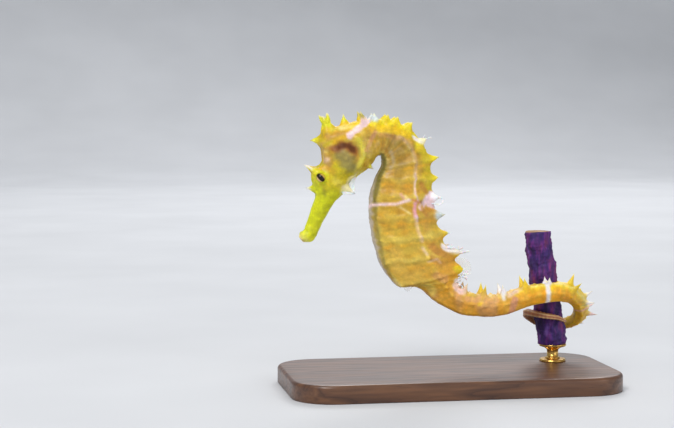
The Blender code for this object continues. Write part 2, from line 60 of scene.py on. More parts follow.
BODY = (
    # name          back x  back z  belly x belly z width
    ("mouth", -33.6, 34.3, -32.6, 32.8, 0.9),
    ("lips", -33.4, 35.0, -30.8, 33.0, 1.4),
    ("snout_end", -32.7, 35.6, -29.8, 34.0, 1.55),
    ("snout_waist", -32.1, 36.8, -29.2, 35.5, 1.35),
    ("snout_middle", -31.4, 38.9, -28.0, 37.8, 1.5),
    ("snout_base", -30.7, 41.2, -26.5, 39.8, 1.8),
    ("cheek", -30.1, 43.2, -24.7, 42.0, 2.4),
    ("below_eye", -30.4, 45.1, -23.2, 43.9, 3.0),
    ("eye", -30.6, 47.0, -22.0, 45.5, 3.4),
    ("brow", -30.1, 48.7, -21.0, 46.8, 3.6),
    ("temple", -28.8, 50.3, -19.7, 47.8, 3.8),
    ("forehead", -28.7, 52.1, -18.8, 48.5, 4.0),
    ("crown", -29.1, 54.9, -17.9, 49.3, 4.1),
    ("coronet", -28.9, 57.4, -17.2, 50.0, 3.9),
    ("nape", -25.8, 58.3, -16.8, 50.5, 3.5),
    ("nape_rear", -22.5, 59.1, -16.5, 51.0, 3.3),
    ("shoulder", -19.7, 59.8, -16.2, 51.4, 3.2),
    ("ring_1", -17.1, 59.9, -15.85, 51.6, 3.2),
    ("ring_2", -13.3, 59.6, -15.5, 51.35, 3.3),
    ("ring_3", -9.4, 58.1, -15.4, 50.8, 3.5),
    ("ring_4", -6.3, 55.0, -15.4, 50.0, 3.7),
    ("ring_5", -4.5, 51.0, -15.8, 48.7, 4.1),
    ("ring_6", -3.9, 46.8, -17.0, 46.6, 4.5),
    ("ring_7", -3.5, 42.5, -18.1, 42.5, 4.8),
    ("ring_8", -2.9, 38.6, -18.1, 37.8, 4.9),
    ("ring_9", -1.7, 34.5, -17.3, 32.9, 5.0),
    ("ring_10", 0.7, 30.1, -15.6, 27.7, 4.8),
    ("ring_11", 2.8, 26.2, -11.3, 22.6, 4.2),
    ("anal_ring", 1.8, 24.4, -7.9, 23.3, 3.5),
    ("tail_root", 1.9, 23.1, -5.8, 21.6, 3.3),
    ("tail_bend", 3.2, 21.8, -3.1, 19.0, 3.1),
)

# The free tail between its bend and the branch: middle x, middle z, half depth, half width.
FREE_TAIL = (
    (3.1, 18.9, 3.0, 2.9),
    (6.4, 18.2, 2.85, 2.8),
    (9.8, 17.9, 2.75, 2.7),
    (13.0, 18.3, 2.7, 2.6),
    (16.2, 19.3, 2.65, 2.55),
    (19.2, 20.1, 2.55, 2.5),
)

# The grip: turn about the branch from its front, height on the branch's axis, distance
# from the axis, and the tail's radius there.
GRIP = (
    (0, 20.7, 6.05, 2.45),
    (30, 20.0, 6.25, 2.35),
    (55, 18.4, 6.9, 2.15),
    (75, 16.2, 7.5, 1.95),
    (95, 13.7, 7.8, 1.8),
    (115, 11.9, 7.7, 1.65),
    (140, 11.1, 6.9, 1.5),
    (170, 11.6, 5.7, 1.35),
    (205, 13.3, 5.1, 1.2),
    (240, 15.1, 4.9, 1.05),
    (270, 16.1, 4.8, 0.95),
    (300, 16.0, 4.7, 0.88),
    (335, 15.3, 4.6, 0.8),
    (370, 14.4, 4.5, 0.65),
    (400, 13.1, 4.3, 0.42),
)

HEAD_CORNERS = ((-1.0, 0.0), (-0.72, 0.6), (0.1, 1.0), (0.86, 0.45))
TRUNK_CORNERS = ((-1.0, 0.0), (-0.8, 0.55), (0.28, 1.0), (0.96, 0.46))
LOW_TRUNK_CORNERS = ((-1.0, 0.0), (-0.95, 0.5), (0.2, 1.0), (0.96, 0.46))
TAIL_CORNERS = ((-0.93, 0.0), (-0.86, 0.6), (0.0, 0.95), (0.9, 0.6))
INFERIOR, LATERAL, SUPERIOR = 1, 2, 3
GIRTHS = 7
MID_BACK = 3.5
HEAD_BULGE = 0.09

BACK_SPINES = (2.4, 1.6, 1.5, 1.7, 1.5, 2.4, 1.6, 1.6, 2.2, 2.0, 2.8, 0.8)  # by ring
SPINE_POWER = 1.55  # how waisted a spine is
SPINE_POWERS = {11: 0.9}  # and how blunt the trunk's last one is
SPINE_FOOT = 0.75  # radius of a back spine's foot
SPINE_FOOT_GROWTH = 0.27  # which grows with the spine's height
SPINE_FEET = {0: 0.72, 4: 0.8, 7: 1.1, 11: 1.7}  # narrower and broader feet, by ring
SPINE_STRETCH = 1.25  # how much longer than wide their feet are
SPINE_SPLAY = 0.45
TWIN_SPINES = {2: 0.25}  # rings whose back spines have two tips, this far before and behind
# Smaller spines of the trunk: first ring with one, girth, height, foot's radius and stretch
SMALL_SPINES = ((3, LATERAL, 0.49, 0.8, 1.1), (5, INFERIOR, 0.4, 0.7, 1.0))
# The spines where the tail begins: girth, height and foot's radius
ROOT_SPINES = ((SUPERIOR, 0.6, 0.8), (LATERAL, 0.45, 0.8))
TAIL_RING_START = 2.9
TAIL_RING_SPACING = 1.06
TAIL_RING_LONGEST = 2.65
TAIL_SPINES = {1: 2.2, 3: 2.9, 4: 0.6, 5: 2.6, 7: 2.8, 9: 1.6, 11: 2.6, 13: 2.1, 15: 2.3, 17: 1.0}
TAIL_SPINE_POWER = 1.75
TAIL_KNOB = 0.25  # height of the tail's other rings' knobs

HEAD_SPINES = (
    # base, tip and base radius; y is for the left one of a pair
    ((-29.4, 0.0, 44.4), (-32.3, 0.0, 44.7), 1.3),  # nose
    ((-30.2, -1.75, 48.4), (-32.3, -2.1, 49.75), 1.25),  # above the eye
    ((-28.2, 0.0, 55.0), (-31.3, 0.0, 55.1), 1.7),  # forehead
    ((-23.6, 0.0, 58.2), (-23.8, 0.0, 60.9), 1.3),  # nape
    ((-24.6, -1.2, 45.4), (-21.3, -1.8, 43.3), 1.2),  # cheek
    ((-19.6, -1.0, 50.8), (-17.3, -1.3, 48.7), 1.0),  # throat
)
CROWN_BASE = (-27.1, 0.0, 57.2)
CROWN_AXIS = (-0.30, 0.0, 0.954)
CROWN_RADIUS = 1.15  # of its column
CROWN_FLARE = 0.35  # how far its points lean out
CROWN_HEIGHT = 3.3
CROWN_NOTCH = 2.1
CROWN_POINTS = 5
EYE_RADIUS = 1.3
EYE_PLACE = (-29.1, -2.05, 47.0)

PERCH_BOTTOM = 8.0
PERCH_TOP = 34.0
PERCH_LEAN = math.radians(8.8)
PERCH_X = 24.3
PERCH_Y = 6.0
PERCH_MIDDLE = 20.4
PERCH_RADIUS_TOP = 3.0
PERCH_RADIUS_BOTTOM = 3.45

# ---------------------------------------------------------------- the skin's own measures

ROW_STEP = 0.268  # between rows of the skin's mesh along the trunk
GIRTH_STEPS = (10, 20, 18, 12, 18, 20, 10)  # columns of the mesh between neighbouring ridges
RIB_WIDTH = 1.0  # half width of a raised ring on the trunk
RIDGE_WIDTH = 0.5  # and of a raised ridge along it
RIDGE_ROUNDING = 1.1  # how far from a ridge's crest its rounding starts
GROOVE_DEPTH = 0.036  # between two rings, as a share of the body's half width
WINDOW_DEPTH = 0.022  # in the middle of a bony plate, likewise
PANEL_SWELL = 0.05  # how far the trunk's panels bulge, likewise
RIDGE_HEIGHT = 0.035  # likewise
CREASE_DEPTH = 0.006  # likewise
CREASES = 3.0  # fine folds from one ring to the next
SOFT_LUMPS = ((2.6, 0.055, 11), (1.0, 0.028, 12))  # size, height and seed of the skin's unevenness
WART_SIZE = 1.1
WART_HEIGHT = 0.16
SPINE_SEARCH = 14.0  # how far from a spine's base its foot is looked for
VENT_FILL = 0.25  # how far the skin is filled out behind the trunk's last ring
EASING_STEPS = 40  # how much the rows there are evened out
THROAT_HOLLOW = 0.5  # how much slimmer the snout is below its base

# Head features, as points (x, z) on its flank
BROW_RIDGE = (
    (-29.9, 44.9), (-30.2, 46.3), (-29.6, 48.6), (-28.0, 50.4), (-28.2, 53.0), (-28.3, 55.6),
)
CHEEK_RIDGE = ((-29.6, 43.6), (-27.6, 45.0), (-25.4, 45.9), (-23.9, 46.0))
SNOUT_RIDGE = ((-31.9, 36.2), (-30.6, 39.8), (-29.2, 43.2))
GILL_ARCH = ((-28.8, 54.1), (-27.6, 55.3), (-25.6, 56.3), (-23.2, 56.5), (-21.6, 55.8))
GILL_RIM = ((-21.1, 55.5), (-19.9, 53.9), (-19.8, 51.8), (-20.6, 49.8), (-22.0, 47.9))
GILL_HOLLOW = ((-25.7, 54.1), (-24.5, 54.7), (-23.1, 54.5), (-21.9, 53.6))
# Each ridge's height and half width
HEAD_RIDGES = (
    (BROW_RIDGE, 0.26, 0.5),
    (CHEEK_RIDGE, 0.24, 0.55),
    (GILL_ARCH, 0.34, 0.7),
    (SNOUT_RIDGE, 0.12, 0.45),
)
GILL_RIM_HEIGHT = 0.42
GILL_HOLLOW_DEPTH = 0.5
GILL_COVER = (-24.3, 50.6)  # middle of the gill cover's dome
GILL_COVER_RADIUS = 3.7
GILL_COVER_HEIGHT = 0.5
GILL_FAN = (-27.4, 48.0)  # where the cover's fine streaks spread from
GILL_STREAKS = 26.0
GILL_STREAK_HEIGHT = 0.03
FOREHEAD_HOLLOW = 0.22
NOSTRIL = (-30.1, -1.15, 45.3)
NOSTRIL_RADIUS = 0.22
NOSTRIL_DEPTH = 0.25
EYE_AXIS = (-0.22, -0.97, 0.08)
EYE_SLANT = (0.70, -0.16, -0.70)  # the eye's opening and its dark band run this way
LID_RADIUS = 1.42
LID_OPENING = 0.98
LID_SHOULDER = 1.22  # where the lid turns down from the eyeball
LID_SLOPE = 0.95
LID_WALL = 2.6  # how steeply the skin drops inside the lids
LID_SNAP = 0.05  # mesh points this near the lids' edge are moved onto it
LID_FOLD = 0.42  # from one fine fold to the next
LID_FOLD_HEIGHT = 0.025
LID_STRETCH = 1.10
# The lips from their outside inwards: share of the snout's end, how far out, how dark
MOUTH = (
    (0.95, 0.10, 0.0),
    (0.86, 0.19, 0.0),
    (0.75, 0.22, 0.05),
    (0.64, 0.17, 0.2),
    (0.56, 0.02, 0.6),
    (0.50, -0.2, 0.9),
    (0.42, -0.5, 1.0),
    (0.25, -0.7, 1.0),
)
MOUTH_FLATNESS = 0.6  # the opening's height by its width
STRIPS = 3  # of the skin's flat layout

# Skin threads: ring number, length, width, curl in radians, forks
THREADS = (
    (0.55, 1.2, 0.12, 0.3, 0),
    (4.0, 1.7, 0.10, 0.9, 1),
    (7.0, 3.6, 0.22, 3.6, 0),
    (7.35, 1.2, 0.16, 0.9, 1),
    (9.0, 1.0, 0.10, 0.5, 1),
    (9.7, 2.0, 0.27, 0.5, 1),
    (10.15, 2.1, 0.28, 0.4, 1),
    (11.4, 2.2, 0.20, 1.4, 2),
    (11.9, 2.8, 0.27, 1.1, 3),
    (12.5, 2.1, 0.25, 1.8, 2),
    (13.2, 1.5, 0.17, 2.4, 1),
)
THREAD_POINTS = 12  # along a thread
THREAD_SIDES = 8
THREAD_ACROSS = (0.31, 0.83, 0.46)  # any direction that no thread runs along
# The pale flap below each cheek: its root on the throat and its free edge, left side
FLAP_ROOT = ((-24.6, -1.35, 44.3), (-23.3, -1.5, 45.4), (-22.0, -1.4, 47.0), (-21.0, -1.2, 48.4))
FLAP_EDGE = (
    (-24.3, -1.6, 43.45), (-22.9, -1.8, 43.3), (-21.55, -1.8, 43.5),
    (-21.6, -1.6, 45.6), (-21.2, -1.4, 47.2), (-20.9, -1.2, 48.3),
)
FLAP_GRID = (15, 9)  # rows and columns of its mesh
FLAP_THICKNESS = 0.14  # half of it, at the root
FLAP_RUFFLE = 0.12
EYE_GRID = (41, 64)
EYE_SPAN = 0.62 * math.pi  # how far round the eyeball is made, from its front
EYE_BULGE = 0.05  # how far its front stands out, as a share of its radius
# The eye's dark band: its dark centre with painted shade round it
PUPIL_AND_SHADE = (1.25, 0.49)  # half length and half width
EYE_DARK = (26, 10, 8)
MOUTH_DARK = (84, 44, 30)

# Fins: roots of the first and last ray, those two rays, number of rays, sag
PECTORAL_FIN = (((-20.5, -3.4, 55.2), (-20.1, -3.4, 51.9)), ((2.2, -1.7, 0.7), (2.1, -1.7, -1.1)), 13, 0.3)
DORSAL_FIN = (((1.2, 0.0, 28.9), (2.2, 0.0, 25.9)), ((4.2, 0.0, -0.3), (3.6, 0.0, -1.3)), 12, 0.15)
ANAL_FIN = (((-10.0, 0.0, 23.2), (-8.5, 0.0, 23.6)), ((-0.1, 0.0, -2.1), (0.5, 0.0, -1.9)), 6, 0.1)
FIN_RAY_POINTS = 13  # of the mesh along a ray
FIN_STEPS = 6  # columns of the mesh from one ray to the next
FIN_NOTCH = 0.09  # how far the edge is notched between two rays
FIN_THICKNESS = 0.03  # half of it
FIN_RAY = 0.02  # and how much a ray adds
FIN_SEED = 300
FLESH_NODES = (
    "snout", "head", "neck", "trunk_upper", "trunk_lower", "tail_base", "tail_middle",
    "tail_grip_front", "tail_grip_side", "tail_grip_back", "tail_tip",
)
PERCH_GRID = (150, 132)  # rows and columns of its mesh
CUT_LOOPS = (0.93, 0.9, 0.78, 0.62, 0.46, 0.3, 0.15)  # rings of a cut end, as shares of its edge
CUT_RIM = 0.91  # inside which the wood is sunk
CUT_DEPTH = 0.1
BASE_HEIGHT = 4.0
BASE_CORNER = 9.0
BASE_EDGE = 0.8
BASE_STEPS = 16  # of the mesh round a corner
LATHE_STEPS = 64
ROD_RADIUS = 1.3
ROD_FOOT_RADIUS = 3.0
ROD_CUP_RADIUS = 3.1
CAMERA_AZIMUTH = -10.0
CAMERA_ELEVATION = 4.0
CAMERA_DISTANCE = 370.7
CAMERA_TARGET = (-25.2, 0.0, 38.9)
CAMERA_LENS = 90.0
# Soft square lights: name, place, size, power and colour
LIGHTS = (
    ("key_light", (-450.0, -650.0, 900.0), 500.0, 8.6, (1.0, 0.985, 0.96)),
    ("fill_light", (800.0, -900.0, 250.0), 900.0, 3.2, (1.0, 1.0, 1.0)),
    ("rim_light", (250.0, 800.0, 700.0), 500.0, 4.5, (1.0, 1.0, 1.0)),
)
LOOK_AT = (-5.0, 0.0, 40.0)  # where the lights point
SKY_COLOUR = (0.93, 0.96, 1.0)
SKY_STRENGTH = 0.4
FLOOR_FRONT = -2500.0
FLOOR_BACK = 900.0  # where it starts to curve up
FLOOR_CURVE = 500.0
FLOOR_HALF_WIDTH = 3000.0
WALL_TOP = 3000.0

# ---------------------------------------------------------------- colours

# The skin's, as screen values from 0 to 255
LIME = (228, 234, 44)
OLIVE = (112, 104, 40)
CITRON = (208, 188, 22)
LEMON = (206, 208, 6)
BRIGHT = (238, 216, 10)
PALE_YELLOW = (240, 222, 110)
BUTTER = (234, 208, 100)
YOLK = (244, 204, 14)
GOLD = (242, 192, 28)
PRIMROSE = (228, 218, 70)
OCHRE = (198, 158, 44)
SAND = (208, 176, 60)
STRAW = (222, 184, 76)
KHAKI = (150, 120, 38)
RUST = (192, 132, 44)
ORANGE = (244, 168, 24)
AMBER = (224, 166, 46)
TAN = (214, 168, 96)
DUN = (178, 150, 96)
GREY_OLIVE = (140, 130, 80)
GREY_BLUE = (158, 172, 170)
BROWN = (96, 50, 16)
CHESTNUT = (150, 78, 34)
CREAM = (246, 232, 178)
PALE_TIP = (250, 240, 190)
WHITE = (250, 244, 250)
BLUSH = (246, 214, 222)
ROSE = (238, 178, 170)
MAGENTA = (234, 160, 196)
SCARLET = (214, 96, 84)
TAUPE = (204, 172, 132)
LILAC = (206, 198, 222)
ICE = (208, 222, 228)
DULL_PINK = (214, 152, 116)
TIP_BROWN = (150, 92, 70)
MOSS = (166, 156, 44)

# The other materials', single or as stops along a value
THREAD_STOPS = ((0.3, (232, 214, 214)), (0.55, (252, 250, 250)), (0.75, (214, 228, 238)))
BARK_STOPS = ((0.28, (34, 12, 62)), (0.45, (56, 24, 104)), (0.58, (104, 36, 122)), (0.74, (146, 60, 88)))
# Lilac crusting of the bark, in part painted sheen
BARK_CRUST_AND_SHEEN = (150, 112, 196)
BARK_STREAK = (22, 10, 44)
CUT_STOPS = ((0.0, (150, 108, 70)), (0.5, (190, 148, 100)), (1.0, (128, 86, 54)))
BRASS_STOPS = ((0.3, (178, 132, 62)), (0.6, (222, 182, 102)))
WALNUT_STOPS = ((0.0, (92, 58, 38)), (0.55, (118, 78, 50)), (1.0, (74, 45, 30)))
WALNUT_FIBRE = (56, 34, 24)
WALNUT_PORE = (38, 22, 16)
FLOOR_STOPS = ((0.3, (214, 216, 220)), (0.7, (220, 222, 226)))

# Spines with a colour of their own, by ring number, and how far up from the foot it starts
SPINE_TINTS = {
    0: (MOSS, 0.3), 1: (ICE, 0.03), 4: (CREAM, 0.03), 7: (WHITE, 0.03), 8: (ICE, 0.03),
    19: (WHITE, 0.03), 23: (WHITE, 0.03), 27: (WHITE, 0.03), 29: (BLUSH, 0.03), 31: (WHITE, 0.03),
}
HEAD_END = -0.4  # ring number where the head's spines end

# How the back's and the flank's colour change along the body, by ring number. The gold from about ring 27
# to 32, where the tail turns round the branch, is in part painted light that brightens its shaded turn.
BACK_TINTS = (
    (-16.0, LEMON), (-7.0, LEMON), (-5.0, SAND), (-4.0, CITRON), (-1.6, GOLD), (-0.5, YOLK),
    (0.5, BRIGHT), (3.5, BRIGHT), (4.5, CITRON), (6.3, CITRON), (7.6, RUST), (9.0, SAND),
    (9.8, RUST), (11.0, OCHRE), (14.0, AMBER), (16.5, YOLK), (18.0, GOLD), (24.0, YOLK),
    (27.0, BUTTER), (32.0, GOLD), (34.5, RUST), (37.0, TIP_BROWN), (60.0, TIP_BROWN),
)
FLANK_TINTS = (
    (-16.0, LEMON), (-10.0, LEMON), (-8.5, CITRON), (-5.8, CITRON), (-4.2, OCHRE), (-2.0, SAND),
    (1.0, OCHRE), (2.2, KHAKI), (4.2, KHAKI), (5.5, OCHRE), (8.0, OCHRE), (9.0, SAND),
    (11.5, STRAW), (13.0, AMBER), (14.5, ORANGE), (24.0, ORANGE), (27.0, GOLD), (31.5, GOLD),
    (34.5, RUST), (37.0, TIP_BROWN), (60.0, TIP_BROWN),
)

# Marks of the head's sides: path of (x, z), half width, colour, strength
HEAD_MARKS = (
    (((-28.6, 56.0), (-26.6, 56.4), (-24.0, 56.6)), 0.6, OCHRE, 0.5),
    (((-26.6, 57.4), (-25.0, 57.4)), 0.5, PRIMROSE, 0.7),
    (((-24.6, 58.0), (-22.4, 58.2)), 0.7, CREAM, 0.7),
    (((-20.0, 57.2), (-18.8, 56.4)), 0.8, TAUPE, 0.5),
    (((-28.2, 52.6), (-27.4, 50.2)), 0.9, RUST, 0.5),
    (((-27.6, 56.0), (-25.6, 56.9), (-23.8, 56.4)), 0.6, RUST, 0.6),
    (((-28.8, 54.1), (-27.4, 55.3), (-25.4, 56.3), (-24.2, 56.6)), 0.28, TAN, 0.6),
    (((-27.6, 53.4), (-26.2, 55.0), (-24.2, 55.6)), 0.4, GOLD, 0.7),
    (((-28.9, 53.0), (-28.4, 51.4), (-27.4, 49.8)), 0.6, DUN, 0.8),
    (((-28.0, 52.6), (-27.0, 54.2)), 0.35, PALE_YELLOW, 0.7),
    # Painted shade: grey-olive over the gill cover's shaded lower part
    (((-25.0, 52.4), (-23.8, 50.8), (-23.0, 49.6)), 1.5, GREY_OLIVE, 0.75),
    # Painted shadow: chestnut and brown in the hollow of the gill opening
    (((-26.5, 53.3), (-24.6, 54.0), (-22.9, 53.8), (-22.0, 52.8)), 0.95, CHESTNUT, 0.75),
    (((-25.4, 53.7), (-24.2, 54.1), (-23.0, 53.9), (-22.2, 53.1)), 0.72, BROWN, 0.95),
    # Painted shade: olive in front of the gill cover's rear rim
    (((-22.3, 51.6), (-22.5, 49.8)), 0.45, OLIVE, 0.4),
    (((-21.2, 55.2), (-20.0, 53.8), (-19.9, 51.6), (-20.8, 49.8)), 0.62, PRIMROSE, 0.85),
    # Painted shade: a thin olive line beside the pale rim
    (((-20.9, 53.6), (-20.8, 51.8)), 0.22, OLIVE, 0.4),
    (((-18.6, 55.2), (-18.4, 53.2)), 0.7, DULL_PINK, 0.45),
    (((-27.4, 49.4), (-26.8, 48.6)), 0.9, RUST, 0.35),
    (((-26.2, 46.4), (-25.4, 45.8), (-24.6, 45.2)), 0.8, PALE_YELLOW, 0.4),
    (((-30.3, 49.3), (-29.0, 49.2), (-27.6, 48.9)), 0.5, AMBER, 0.7),
    (((-28.3, 50.6), (-27.7, 50.9)), 0.45, BLUSH, 0.5),
    # Painted shade: a soft olive line below the eye
    (((-28.6, 45.2), (-28.2, 43.2)), 0.35, OLIVE, 0.35),
    (((-24.3, 43.9), (-23.2, 45.9), (-21.8, 47.6)), 0.55, PALE_TIP, 0.8),
    # Painted shade: grey-blue in the hollow below the cheek flap
    (((-22.6, 44.9), (-22.4, 46.0)), 0.35, GREY_BLUE, 0.7),
    (((-24.2, 45.0), (-23.2, 44.3), (-22.2, 43.8)), 0.55, CREAM, 0.85),
)

STRIPE_SOFTNESS = 0.35
# Marks of the body: path of (ring number, girth), half width, colour, strength
BODY_MARKS = (
    (((-1.9, 2.33), (-1.1, 2.50), (-0.3, 2.67), (0.3, 2.9), (0.8, 3.1)), 0.75, BLUSH, 0.95),
    (((-1.9, 1.42), (-0.6, 1.58), (0.7, 2.0)), 0.5, DULL_PINK, 0.6),
    (((1.3, 2.35), (2.1, 2.3), (3.1, 2.45)), 0.9, YOLK, 0.7),
    (((1.2, 1.85), (2.4, 1.9), (3.4, 2.1)), 0.6, DULL_PINK, 0.35),
    (((3.6, 2.72), (4.0, 2.95), (4.2, 3.2)), 0.6, WHITE, 0.9),
    (((3.5, 2.3), (4.4, 2.15), (5.9, 2.05)), 0.35, TAN, 0.65),
    (((4.0, 1.6), (5.8, 1.45)), 1.0, KHAKI, 0.5),
    (((3.2, 1.3), (4.6, 1.25)), 0.4, LILAC, 0.35),
    (((4.9, 1.2), (5.8, 1.1)), 0.4, LILAC, 0.3),
    (((7.5, 2.28), (7.1, 2.55), (6.8, 2.85), (6.9, 3.4)), 0.75, BLUSH, 0.95),
    (((7.2, 2.7), (7.4, 3.05), (7.5, 3.5)), 1.15, BLUSH, 0.95),
    (((6.9, 2.95), (7.3, 3.3)), 0.8, WHITE, 0.8),
    (((7.45, 0.0), (7.35, 0.6), (7.32, 1.1), (7.3, 1.5), (7.1, 1.85)), 0.34, BLUSH, 0.95),
    (((5.7, 2.02), (6.4, 2.01), (6.8, 2.04), (7.15, 2.14)), 0.24, BLUSH, 0.85),
    (((6.8, 1.62), (7.0, 1.7)), 0.28, ROSE, 0.8),
    (((6.9, 1.75), (7.05, 1.8)), 0.2, CREAM, 0.8),
    (((7.1, 1.95), (7.25, 2.2)), 0.22, SCARLET, 0.55),
    (((7.3, 2.02), (7.6, 1.98), (7.95, 1.98)), 0.42, MAGENTA, 0.8),
    (((7.95, 1.98), (8.2, 2.02)), 0.22, LILAC, 0.6),
    (((7.2, 2.28), (7.3, 2.32)), 0.14, BROWN, 0.7),
    (((7.5, 2.32), (7.9, 2.45)), 0.5, RUST, 0.7),
    (((7.45, 1.60), (7.8, 1.85)), 0.2, CREAM, 0.75),
    (((6.3, 2.35), (6.7, 2.6)), 0.6, RUST, 0.7),
    (((2.8, 2.12), (4.5, 2.06), (5.9, 2.02)), 0.42, TAUPE, 0.55),
    (((8.1, 1.98), (8.7, 1.98), (9.2, 2.0)), 0.4, BLUSH, 0.45),
    (((9.5, 1.95), (9.8, 2.0)), 0.35, BLUSH, 0.5),
    (((9.5, 2.3), (9.8, 2.45), (9.95, 2.65)), 0.8, RUST, 0.75),
    (((10.0, 2.1), (10.4, 2.45)), 0.7, RUST, 0.6),
    (((10.8, 1.95), (11.4, 2.2)), 0.9, DULL_PINK, 0.45),
    (((10.15, 1.95), (10.1, 2.3), (10.3, 2.35)), 0.22, BLUSH, 0.55),
    (((9.6, 2.8), (9.95, 3.0), (10.1, 3.3)), 0.7, WHITE, 0.9),
    (((10.8, 2.8), (11.0, 3.0)), 0.8, BRIGHT, 0.7),
    # Painted light: pale straw that brightens the downward-facing lower trunk
    (((9.6, 1.3), (10.6, 1.2), (11.2, 1.4)), 1.6, STRAW, 0.6),
    (((10.6, 0.8), (11.0, 0.8), (11.4, 0.8), (12.0, 0.9)), 0.4, CREAM, 0.5),
    # Painted light: butter that brightens the shade under the trunk's end
    (((12.0, 1.3), (12.6, 1.4), (13.2, 1.2)), 0.9, BUTTER, 0.7),
    (((12.2, 2.88), (12.8, 3.1)), 0.6, WHITE, 0.8),
    (((13.0, 2.75), (13.8, 2.8), (14.8, 2.9)), 0.8, BLUSH, 0.75),
    (((16.6, 2.2), (17.0, 3.0)), 0.5, BRIGHT, 0.5),
    (((18.9, 2.6), (19.0, 3.5)), 0.5, WHITE, 0.85),
    (((19.4, 2.7), (20.2, 2.9)), 0.5, BLUSH, 0.6),
    (((19.3, 0.8), (19.5, 1.5), (19.8, 2.2)), 0.8, DULL_PINK, 0.9),
    (((15.5, 2.4), (17.0, 2.6), (18.2, 2.6)), 0.7, ROSE, 0.4),
    (((22.7, 0.8), (22.75, 2.2), (22.8, 3.5)), 0.55, WHITE, 0.97),
    (((27.8, 0.9), (27.8, 1.8), (27.8, 2.9)), 0.35, ROSE, 0.85),
)


# ---------------------------------------------------------------- small helpers


def unit(vector):
    """Vectors with their length made 1."""
    vector = np.asarray(vector, float)
    return vector / np.linalg.norm(vector, axis=-1, keepdims=True)


def blend(a, b, share):
    """a where the share is 0, b where it is 1, and a mix between them."""
    return np.asarray(a, float) * (1.0 - share) + np.asarray(b, float) * share


def smooth_step(low, high, value):
    """0 at low, 1 at high, and an easy curve between them. low may be above high."""
    share = np.clip((np.asarray(value, float) - low) / (high - low), 0.0, 1.0)
    return share * share * (3.0 - 2.0 * share)


def hump(distance, width):
    """1 where the distance is 0, falling smoothly to nothing past about two widths."""
    return np.exp(-((np.asarray(distance, float) / width) ** 2))


def catmull_rom(p0, p1, p2, p3, share):
    """A smooth curve between p1 and p2, at a share of the way."""
    return 0.5 * (
        2.0 * p1
        + (p2 - p0) * share
        + (2.0 * p0 - 5.0 * p1 + 4.0 * p2 - p3) * share**2
        + (3.0 * p1 - p0 - 3.0 * p2 + p3) * share**3
    )


def curve_at(values, places):
    """The smooth curve through evenly numbered values, read at places between them."""
    values = np.asarray(values, float)
    places = np.asarray(places, float)
    last = len(values) - 1
    i = np.clip(np.floor(places).astype(int), 0, last - 1)
    near = [values[np.clip(i + k, 0, last)] for k in (-1, 0, 1, 2)]
    return catmull_rom(*near, (places - i)[..., None])


def ripple(points, size, seed, count=16):
    """A smooth random field of about -1 to 1 whose features have the given size."""
    rng = np.random.default_rng(seed)
    waves = unit(rng.normal(size=(count, 3))) * rng.uniform(0.6, 1.5, (count, 1))
    phases = rng.uniform(0.0, 2.0 * math.pi, count)
    angles = np.asarray(points, float) @ (waves * 2.0 * math.pi / size).T + phases
    return np.sin(angles).sum(axis=-1) / math.sqrt(count)


def distance_to_path(points, path):
    """Distance of each point to a path of straight stretches."""
    points = np.asarray(points, float)
    path = np.asarray(path, float)
    best = np.full(points.shape[:-1], np.inf)
    for start, end in zip(path[:-1], path[1:]):
        step = end - start
        share = np.clip((points - start) @ step / (step @ step), 0.0, 1.0)
        distance = np.linalg.norm(points - start - share[..., None] * step, axis=-1)
        best = np.minimum(best, distance)
    return best


def mirrored(point):
    return (point[0], -point[1], point[2])


def make_mesh(name, points, faces, material, smooth=True):
    """A mesh piece from points in millimetres. It rides on the model's one body."""
    mesh = bpy.data.meshes.new(name)
    mesh.from_pydata((np.asarray(points, float) * MM).tolist(), [], faces)
    mesh.polygons.foreach_set("use_smooth", [smooth] * len(mesh.polygons))
    mesh.materials.append(material)
    mesh.update()
    piece = bpy.data.objects.new(name, mesh)
    bpy.context.scene.collection.objects.link(piece)
    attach(piece, "root")
    return piece


def grid_faces(rows, columns, closed=True, start=0):
    """Quads of a grid of points, numbered row by row, that may close on itself."""
    faces = []
    for r in range(rows - 1):
        for c in range(columns if closed else columns - 1):
            d = (c + 1) % columns
            low, high = start + r * columns, start + (r + 1) * columns
            faces.append((low + c, low + d, high + d, high + c))
    return faces


def build_tube(name, grid, material):
    """A piece from rows of points, each a closed loop, whose two ends close on their middles."""
    rows, columns = grid.shape[:2]
    points = np.concatenate([grid.reshape(-1, 3), [grid[0].mean(axis=0), grid[-1].mean(axis=0)]])
    first_end = rows * columns
    last_row = first_end - columns
    faces = grid_faces(rows, columns)
    faces += [((c + 1) % columns, c, first_end) for c in range(columns)]
    faces += [(last_row + c, last_row + (c + 1) % columns, first_end + 1) for c in range(columns)]
    return make_mesh(name, points, faces, material)


def add_values(mesh, name, values):
    """Stores one number for each point, for the material to read."""
    mesh.attributes.new(name, "FLOAT", "POINT").data.foreach_set("value", np.ravel(values))


def add_colours(mesh, name, colours):
    """Stores a red, green and blue for each point."""
    colours = np.asarray(colours, np.float32).reshape(-1, 3)
    full = np.concatenate([colours, np.ones((len(colours), 1), np.float32)], axis=1)
    mesh.attributes.new(name, "FLOAT_COLOR", "POINT").data.foreach_set("color", full.ravel())


def linear(colour):
    """Colours given as 0-255 screen values, as the linear values that shaders take."""
    screen = np.asarray(colour, float) / 255.0
    return np.where(screen <= 0.04045, screen / 12.92, ((screen + 0.055) / 1.055) ** 2.4)


# ---------------------------------------------------------------- the body's sections


PERCH_RIGHT = np.array((math.cos(PERCH_LEAN), 0.0, math.sin(PERCH_LEAN)))
PERCH_FRONT = np.array((0.0, -1.0, 0.0))


def perch_axis(height):
    """The point of the branch's axis at a height."""
    height = np.asarray(height, float)
    x = PERCH_X - math.tan(PERCH_LEAN) * (height - PERCH_MIDDLE)
    return np.stack([x, np.full_like(x, PERCH_Y), height], axis=-1)


